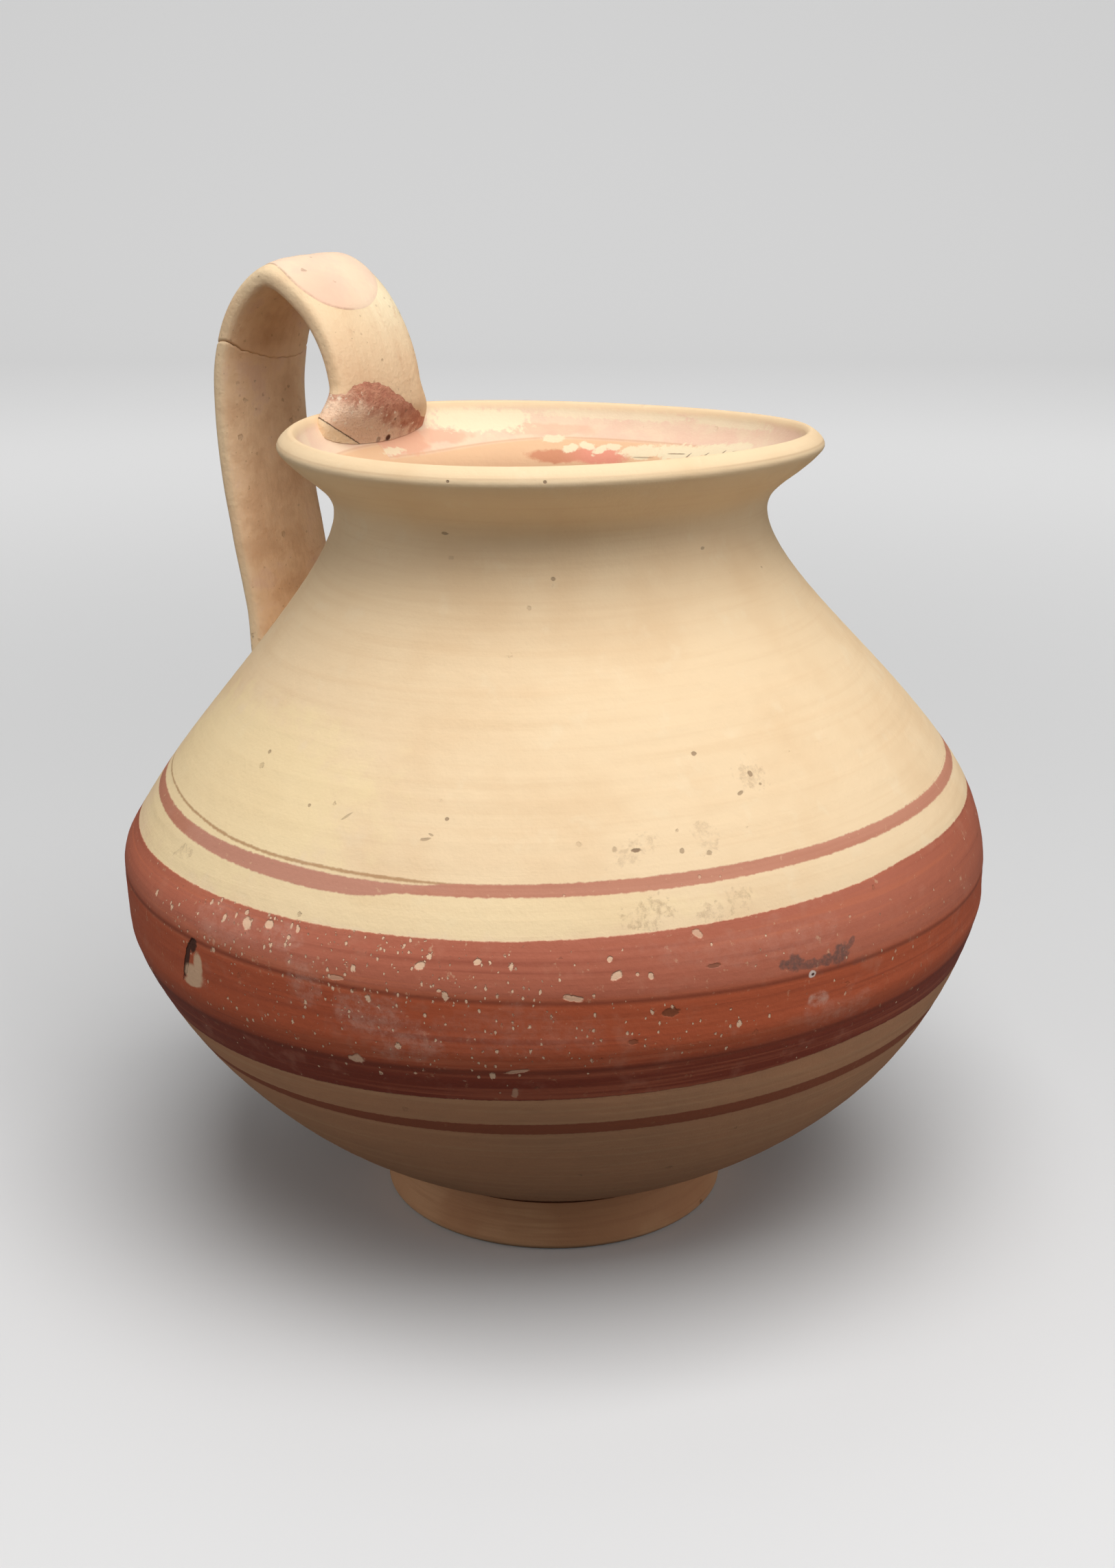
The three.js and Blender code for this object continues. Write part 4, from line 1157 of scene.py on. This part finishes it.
def strap_wear(along, across):
    """Unevenness of the hand-pulled strap, always below its true outline: long finger hollows and small
    dents, in millimetres."""
    long = 0.05 * (1 + np.sin(along / 9.3 + 0.4 * np.sin(across / 5)))
    cross = 0.035 * (1 + np.sin(along / 3.1 + across / 2.3 + 1.3 * np.sin(along / 6)))
    ridge = 0.03 * (1 + np.sin(across * 1.1 + 0.6 * np.sin(along / 9)))
    return 0.04 + long + cross + ridge


def on_strap(path, strap, along, turn, inset=0.0):
    """The strap's surface before the wall went out of true. Its section at a length along the path is a
    superellipse, as across and outwards. Both ends spread, the lower one also swells, and the upper one
    thins on the mouth's side and swells on the other. Its front edge runs out to the lip."""
    at_root = 1 - smooth(along - 9, 0, 13)
    at_rim = 1 - smooth(path.landing - along - 6.5, 0, 9)
    thinned = RIM_THINNING * (1 - smooth(path.landing - along, 0, 11))
    wide, deep = rounded(np.cos(turn)), rounded(np.sin(turn))
    half_width = strap.width / 2 + np.maximum(ROOT_SWELL * at_root, RIM_SPREAD * at_rim)
    half_depth = (strap.thickness + ROOT_SWELL * at_root) / 2
    wear = strap_wear(along, half_width * wide) + inset
    run_out = RUN_OUT * (1 - smooth(path.landing - along + 1, 0, 7)) ** 2
    across = (half_width - wear) * wide - run_out * (1 - wide) / 2
    outwards = (half_depth - wear) * deep - (thinned * (1 + deep) + RIM_SWELL * at_rim * (1 - deep)) / 2
    bed = crown_recess(crown_oval(path, strap, along, across)) + 0.06
    outwards = np.where(np.sin(turn) > 0.05, outwards - np.where(bed > 0.07, bed, 0), outwards)
    return off_path(path, along, across, outwards)


def off_path(path, along, across, outwards):
    """A point beside the strap's middle line: that far across it, and that far from it on the arch's
    outer side, along the line's normal. Over the crown the strap leans to its front edge."""
    near_crown = 1 - smooth(np.abs(along - path.crown), 0, 28)
    outwards = outwards + math.tan(math.radians(CROWN_LEAN)) * near_crown * across

    def on_line(at):
        return np.stack([np.interp(at, path.at, path.line[:, k]) for k in (0, 1)])

    radius, rise = on_line(along)
    ahead = on_line(along + 0.1) - on_line(along - 0.1)
    ahead /= np.hypot(*ahead)
    return np.stack([-(radius + ahead[1] * outwards), across, rise - ahead[0] * outwards], -1)


def crossing(measure, near, far):
    """Where along each column a measure falls through zero between near and far, by halving."""
    near, far = np.full(STRAP_COLUMNS, float(near)), np.full(STRAP_COLUMNS, float(far))
    for _ in range(36):
        middle = (near + far) / 2
        above = measure(middle) > 0
        near, far = np.where(above, middle, near), np.where(above, far, middle)
    return near


def break_line(across, strap, wall):
    """Height of the mended break across the strap: high at the front edge, then falling, with a nick
    near the back edge, and a little jagged."""
    crown = wall.rim_height + strap.rise
    jagged = 0.1 * np.sin(across * 2.1) + 0.07 * np.sin(across * 5.3 + 1)
    return crown - strap.break_depth + np.interp(across, *BREAK_STEPS) + jagged


def break_gap(across):
    """Width of the crack between the sherds: open and chipped at the front edge, tight past the middle."""
    return 0.06 + 0.2 * (1 - smooth(across, -14, -7)) + 0.05 * np.exp(-((across - 11) / 1.6) ** 2)


def fill_line(across, strap, wall):
    """Height of the root fill's upper edge across the strap: an arch that falls away to the back."""
    ragged = 0.22 * np.sin(across * 1.7 + 0.5) + 0.12 * np.sin(across * 4.1)
    return wall.rim_height + strap.fill_rise + np.interp(across, *FILL_STEPS) + ragged


def mouth_top(lines):
    """The top of the wall at the mouth as rise by radius: the slope inside, over the lip, and steeply
    down past its edge."""
    slope = lines.inside[lines.inside[:, 1] > lines.outside[-1, 1] - 9][::-1]
    over = lines.lip[::-1]
    keep = np.maximum.accumulate(over[:, 0]) <= over[:, 0]
    top = np.vstack([slope, over[keep]])
    return top[np.argsort(top[:, 0], kind="stable")]


def strap_piece(path, strap, wall, first, last, first_seat, last_seat, rounding):
    """The closed skin of a stretch of the strap, from one seat to another. Each column of its grid runs
    between its own two crossings, with rows drawn together at both ends, where the edge is rounded by
    an amount for each end. The ends are rings drawn in towards their middle and laid on the seat."""
    turns = section_turns(strap)
    span = float(np.mean(last - first))
    near_end = np.array([0, 0.12, 0.28, 0.5, 0.8])
    middle = np.linspace(1.2, span - 1.2, max(int((span - 2.4) / STRAP_SPACING), 3))
    steps = np.r_[near_end, middle, (span - near_end)[::-1]] / span
    along = first + steps[:, None] * (last - first)
    inset = sum(
        amount * np.clip(1 - from_end / 0.5, 0, 1) ** 2
        for amount, from_end in zip(rounding, (along - first, last - along)))
    body = on_strap(path, strap, along, turns, inset)
    shrink = np.array([0.9, 0.7, 0.45, 0.2])[:, None, None]

    def cap(ring, seat):
        centre = ring.mean(0)
        return seat(centre + shrink * (ring - centre)), seat(centre[None])[0]

    start_rings, start = cap(body[0], first_seat)
    end_rings, end = cap(body[-1], last_seat)
    grid = np.concatenate([start_rings[::-1], body, end_rings])
    caps = len(shrink)
    along = np.concatenate([np.repeat(along[:1], caps, 0), along, np.repeat(along[-1:], caps, 0)])
    turn_grid = along * 0 + turns
    values = {
        "along": np.r_[along[0].mean(), along.ravel(), along[-1].mean()],
        "across": np.r_[start[1], grid[..., 1].ravel(), end[1]],
        "outer_face": np.r_[0, np.sin(turn_grid).ravel(), 0],
    }
    return out_of_true(grid, wall), out_of_true(start, wall), out_of_true(end, wall), values


class JUG_OT_handle(bpy.types.Operator):
    """Builds the two sherds of the strap handle and the fill at its upper root: one strap carried along
    its path, parted at the break and at the fill's edge, and cut off where it meets the wall"""

    bl_idname = "jug.handle"
    bl_label = "Strap handle and root fill"

    def execute(self, context):
        wall, strap = in_millimetres(context.scene.jug_wall), in_millimetres(context.scene.jug_strap)
        path, lines = strap_path(wall, strap), wall_lines(wall)
        top = mouth_top(lines)
        turns = section_turns(strap)

        def at(along):
            return on_strap(path, strap, along, turns)

        def wall_radius(rise):
            return np.interp(rise, lines.outside[:, 1], lines.outside[:, 0])

        def beyond_wall(points):
            return np.hypot(points[..., 0], points[..., 1]) - wall_radius(points[..., 2])

        def over_mouth(points):
            radius = np.hypot(points[..., 0], points[..., 1])
            past_edge = 20 * np.maximum(radius - top[-1, 0], 0)
            return points[..., 2] - np.interp(radius, top[:, 0], top[:, 1]) + past_edge

        def gap_at(line, across):
            return break_gap(across) if line is break_line else FILL_GAP

        def lowered(line, shift):
            def seat(points):
                laid = points.copy()
                laid[..., 2] = line(points[..., 1], strap, wall) + shift * gap_at(line, points[..., 1])
                return laid
            return seat

        def on_wall(points):
            laid = points.copy()
            radius = wall_radius(points[..., 2]) + SEAT_GAP
            laid[..., 0] = -np.sqrt(np.maximum(radius ** 2 - points[..., 1] ** 2, 0))
            return laid

        def on_mouth(points):
            laid = points.copy()
            laid[..., 2] -= over_mouth(points) - SEAT_GAP
            return laid

        def to_line(line, shift):
            def measure(along):
                points = at(along)
                across = points[:, 1]
                return shift * (points[:, 2] - line(across, strap, wall)) - 0.5 * gap_at(line, across)
            return measure

        low, high = path.crown - 45, path.crown - 5
        past_crown, past_landing = path.crown + 5, path.landing + 7
        root = crossing(lambda along: beyond_wall(at(along)) - SEAT_GAP, 24, 0)
        lower_end = crossing(to_line(break_line, -1), low, high)
        upper_start = crossing(to_line(break_line, 1), high, low)
        upper_end = crossing(to_line(fill_line, 1), past_crown, past_landing)
        fill_start = crossing(to_line(fill_line, -1), past_landing, past_crown)
        fill_end = crossing(lambda along: over_mouth(at(along)) - SEAT_GAP, past_crown, past_landing + 0.5)
        fill_end = np.maximum(fill_end, fill_start + 0.4)
        slip, filling = handle_slip(), root_fill()
        soft, crisp = 0.25, FILL_GAP
        parts = (
            ("handle_lower", root, lower_end, on_wall, lowered(break_line, -0.5),
             (0, soft), slip, "slip_handle"),
            ("handle_upper", upper_start, upper_end, lowered(break_line, 0.5), lowered(fill_line, 0.5),
             (soft, crisp), slip, "slip_handle"),
            ("handle_root_fill", fill_start, fill_end, lowered(fill_line, -0.5), on_mouth,
             (crisp, 0), filling, "red_fill"),
        )
        for node, start, end, start_seat, end_seat, rounding, material, slot in parts:
            skin = strap_piece(path, strap, wall, start, end, start_seat, end_seat, rounding)
            add_piece("jug_" + node, *skin, material, node, slot)
        return {"FINISHED"}


class JUG_OT_crown_fill(bpy.types.Operator):
    """Builds the fill let into the outer face of the crown: rings of a superellipse laid on the strap's
    outer face, and a bed underneath"""

    bl_idname = "jug.crown_fill"
    bl_label = "Crown fill"

    def execute(self, context):
        wall, strap = in_millimetres(context.scene.jug_wall), in_millimetres(context.scene.jug_strap)
        path = strap_path(wall, strap)
        turn = np.linspace(-math.pi, math.pi, CROWN_COLUMNS, endpoint=False)
        rings = np.r_[np.linspace(0.04, 0.8, 18), 0.83, 0.86, 0.89, 0.92, 0.95, 0.975, 1][:, None]
        ahead = rings * strap.inlay_length / 2 * rounded(np.cos(turn), INLAY_POWER)
        aside = rings * strap.inlay_width / 2 * rounded(np.sin(turn), INLAY_POWER)
        edge = strap.width / 2 - INLAY_FROM_EDGE
        across = np.clip(aside + INLAY_ASIDE - INLAY_SKEW * ahead, -edge, edge)
        middle = path.crown + INLAY_PAST
        along = middle + ahead

        def face(along, across):
            fullness = np.maximum(1 - np.abs(across / (strap.width / 2)) ** STRAP_POWER, 0)
            return strap.thickness / 2 * fullness ** (1 / STRAP_POWER) - strap_wear(along, across)

        level = face(along, across)
        lift = {"top": INLAY_PROUD * (1 - smooth(rings, 0.93, 1)) + 0.02, "bed": 0.01 - crown_recess(rings)}
        top, bed = (off_path(path, along, across, level + lift[side]) for side in ("top", "bed"))
        centre = face(middle, INLAY_ASIDE)
        ends = [off_path(path, middle, INLAY_ASIDE, centre + lift[side][0, 0]) for side in ("top", "bed")]
        skin = [out_of_true(points, wall) for points in (np.concatenate([top, bed[::-1]]), *ends)]

        def over_both(values, at_middle):
            values = values + 0 * turn
            return np.r_[at_middle, values.ravel(), values[::-1].ravel(), at_middle]

        values = {
            "along": over_both(along, middle),
            "across": over_both(across, INLAY_ASIDE),
            "oval": over_both(rings, 0),
        }
        add_piece("jug_handle_crown_fill", *skin, values, crown_fill(), "handle_crown_fill", "pink_fill")
        return {"FINISHED"}


class JUG_OT_stage(bpy.types.Operator):
    """Builds the floor, lamps and camera"""

    bl_idname = "jug.stage"
    bl_label = "Stage"

    def execute(self, context):
        stage = in_millimetres(context.scene.jug_stage)
        aside, up = np.array([*heading(CAMERA_ROUND), 0]), np.array([0, 0, 1])
        ahead = np.cross(up, aside)
        turn = np.linspace(0, math.pi / 2, 40)
        run = np.r_[FLOOR_NEAR, FLOOR_FAR + BEND_RADIUS * np.sin(turn), FLOOR_FAR + BEND_RADIUS]
        climb = np.r_[0, BEND_RADIUS * (1 - np.cos(turn)), BACKDROP_TOP]
        sideways = np.array([-FLOOR_HALF, FLOOR_HALF])[:, None]
        sweep = run[:, None, None] * ahead + climb[:, None, None] * up + sideways * aside
        row = 2 * np.arange(len(run) - 1)[:, None]
        faces = np.hstack([row, row + 1, row + 3, row + 2])
        mesh = bpy.data.meshes.new("stage_sweep")
        mesh.from_pydata(sweep.reshape(-1, 3).tolist(), [], faces.tolist())
        mesh.shade_smooth()
        mesh.materials.append(pale_backdrop(stage.backdrop))
        floor = bpy.data.objects.new("stage_sweep", mesh)
        context.scene.collection.objects.link(floor)
        floor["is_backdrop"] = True
        data = bpy.data.cameras.new("photo_camera")
        camera = bpy.data.objects.new("photo_camera", data)
        context.scene.collection.objects.link(camera)
        data.sensor_fit = "VERTICAL"
        data.sensor_height = 36
        data.lens = stage.lens
        camera.location = Vector(CAMERA_PLACE) * MM
        camera.rotation_euler = (math.radians(90 - CAMERA_DOWN), 0, math.radians(CAMERA_ROUND))
        context.scene.camera = camera
        for name, setting, size, shares in SOFTBOXES:
            light = bpy.data.lights.new(name, "AREA")
            light.size = size
            light.energy = getattr(stage, setting)
            lamp = bpy.data.objects.new(name, light)
            lamp.location = sum(share * way for share, way in zip(shares, (aside, ahead, up)))
            lamp.rotation_euler = (Vector(LAMPS_AIM) - lamp.location).to_track_quat("-Z", "Y").to_euler()
            context.scene.collection.objects.link(lamp)
        world = bpy.data.worlds.new("Studio")
        context.scene.world = world
        world.use_nodes = True
        sketch = Sketch(world.node_tree)
        background = world.node_tree.nodes["Background"].inputs
        background["Color"].default_value = (1, 1, 1, 1)
        seen = sketch.add("ShaderNodeLightPath").outputs["Is Camera Ray"]
        sketch.feed(background["Strength"], sketch.fade(seen, 0, 1, stage.surround, WORLD_SEEN))
        context.scene.view_settings.view_transform = "Standard"
        return {"FINISHED"}


class JUG_PT_build(bpy.types.Panel):
    """Lists the steps that build the jug"""

    bl_label = "Mended jug"
    bl_idname = "JUG_PT_build"
    bl_space_type = "VIEW_3D"
    bl_region_type = "UI"
    bl_category = "Jug"

    def draw(self, context):
        for operator in OPERATORS:
            self.layout.operator(operator.bl_idname)


OPERATORS = (JUG_OT_body, JUG_OT_foot_ring, JUG_OT_handle, JUG_OT_crown_fill, JUG_OT_stage)
CLASSES = (JugWallSizes, StrapSizes, JugColours, StageSettings, *OPERATORS, JUG_PT_build)


def register():
    for cls in CLASSES:
        bpy.utils.register_class(cls)
    bpy.types.Scene.jug_wall = PointerProperty(type=JugWallSizes)
    bpy.types.Scene.jug_strap = PointerProperty(type=StrapSizes)
    bpy.types.Scene.jug_colours = PointerProperty(type=JugColours)
    bpy.types.Scene.jug_stage = PointerProperty(type=StageSettings)


def unregister():
    del bpy.types.Scene.jug_stage
    del bpy.types.Scene.jug_colours
    del bpy.types.Scene.jug_strap
    del bpy.types.Scene.jug_wall
    for cls in reversed(CLASSES):
        bpy.utils.unregister_class(cls)


def main():
    register()
    bpy.ops.jug.body()
    bpy.ops.jug.foot_ring()
    bpy.ops.jug.handle()
    bpy.ops.jug.crown_fill()
    bpy.ops.jug.stage()
    boxes = {"cad": cad_box, "visual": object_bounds()}
    plain_boxes = {key: [list(corner) for corner in box] for key, box in boxes.items()}


if __name__ == "__main__":
    main()
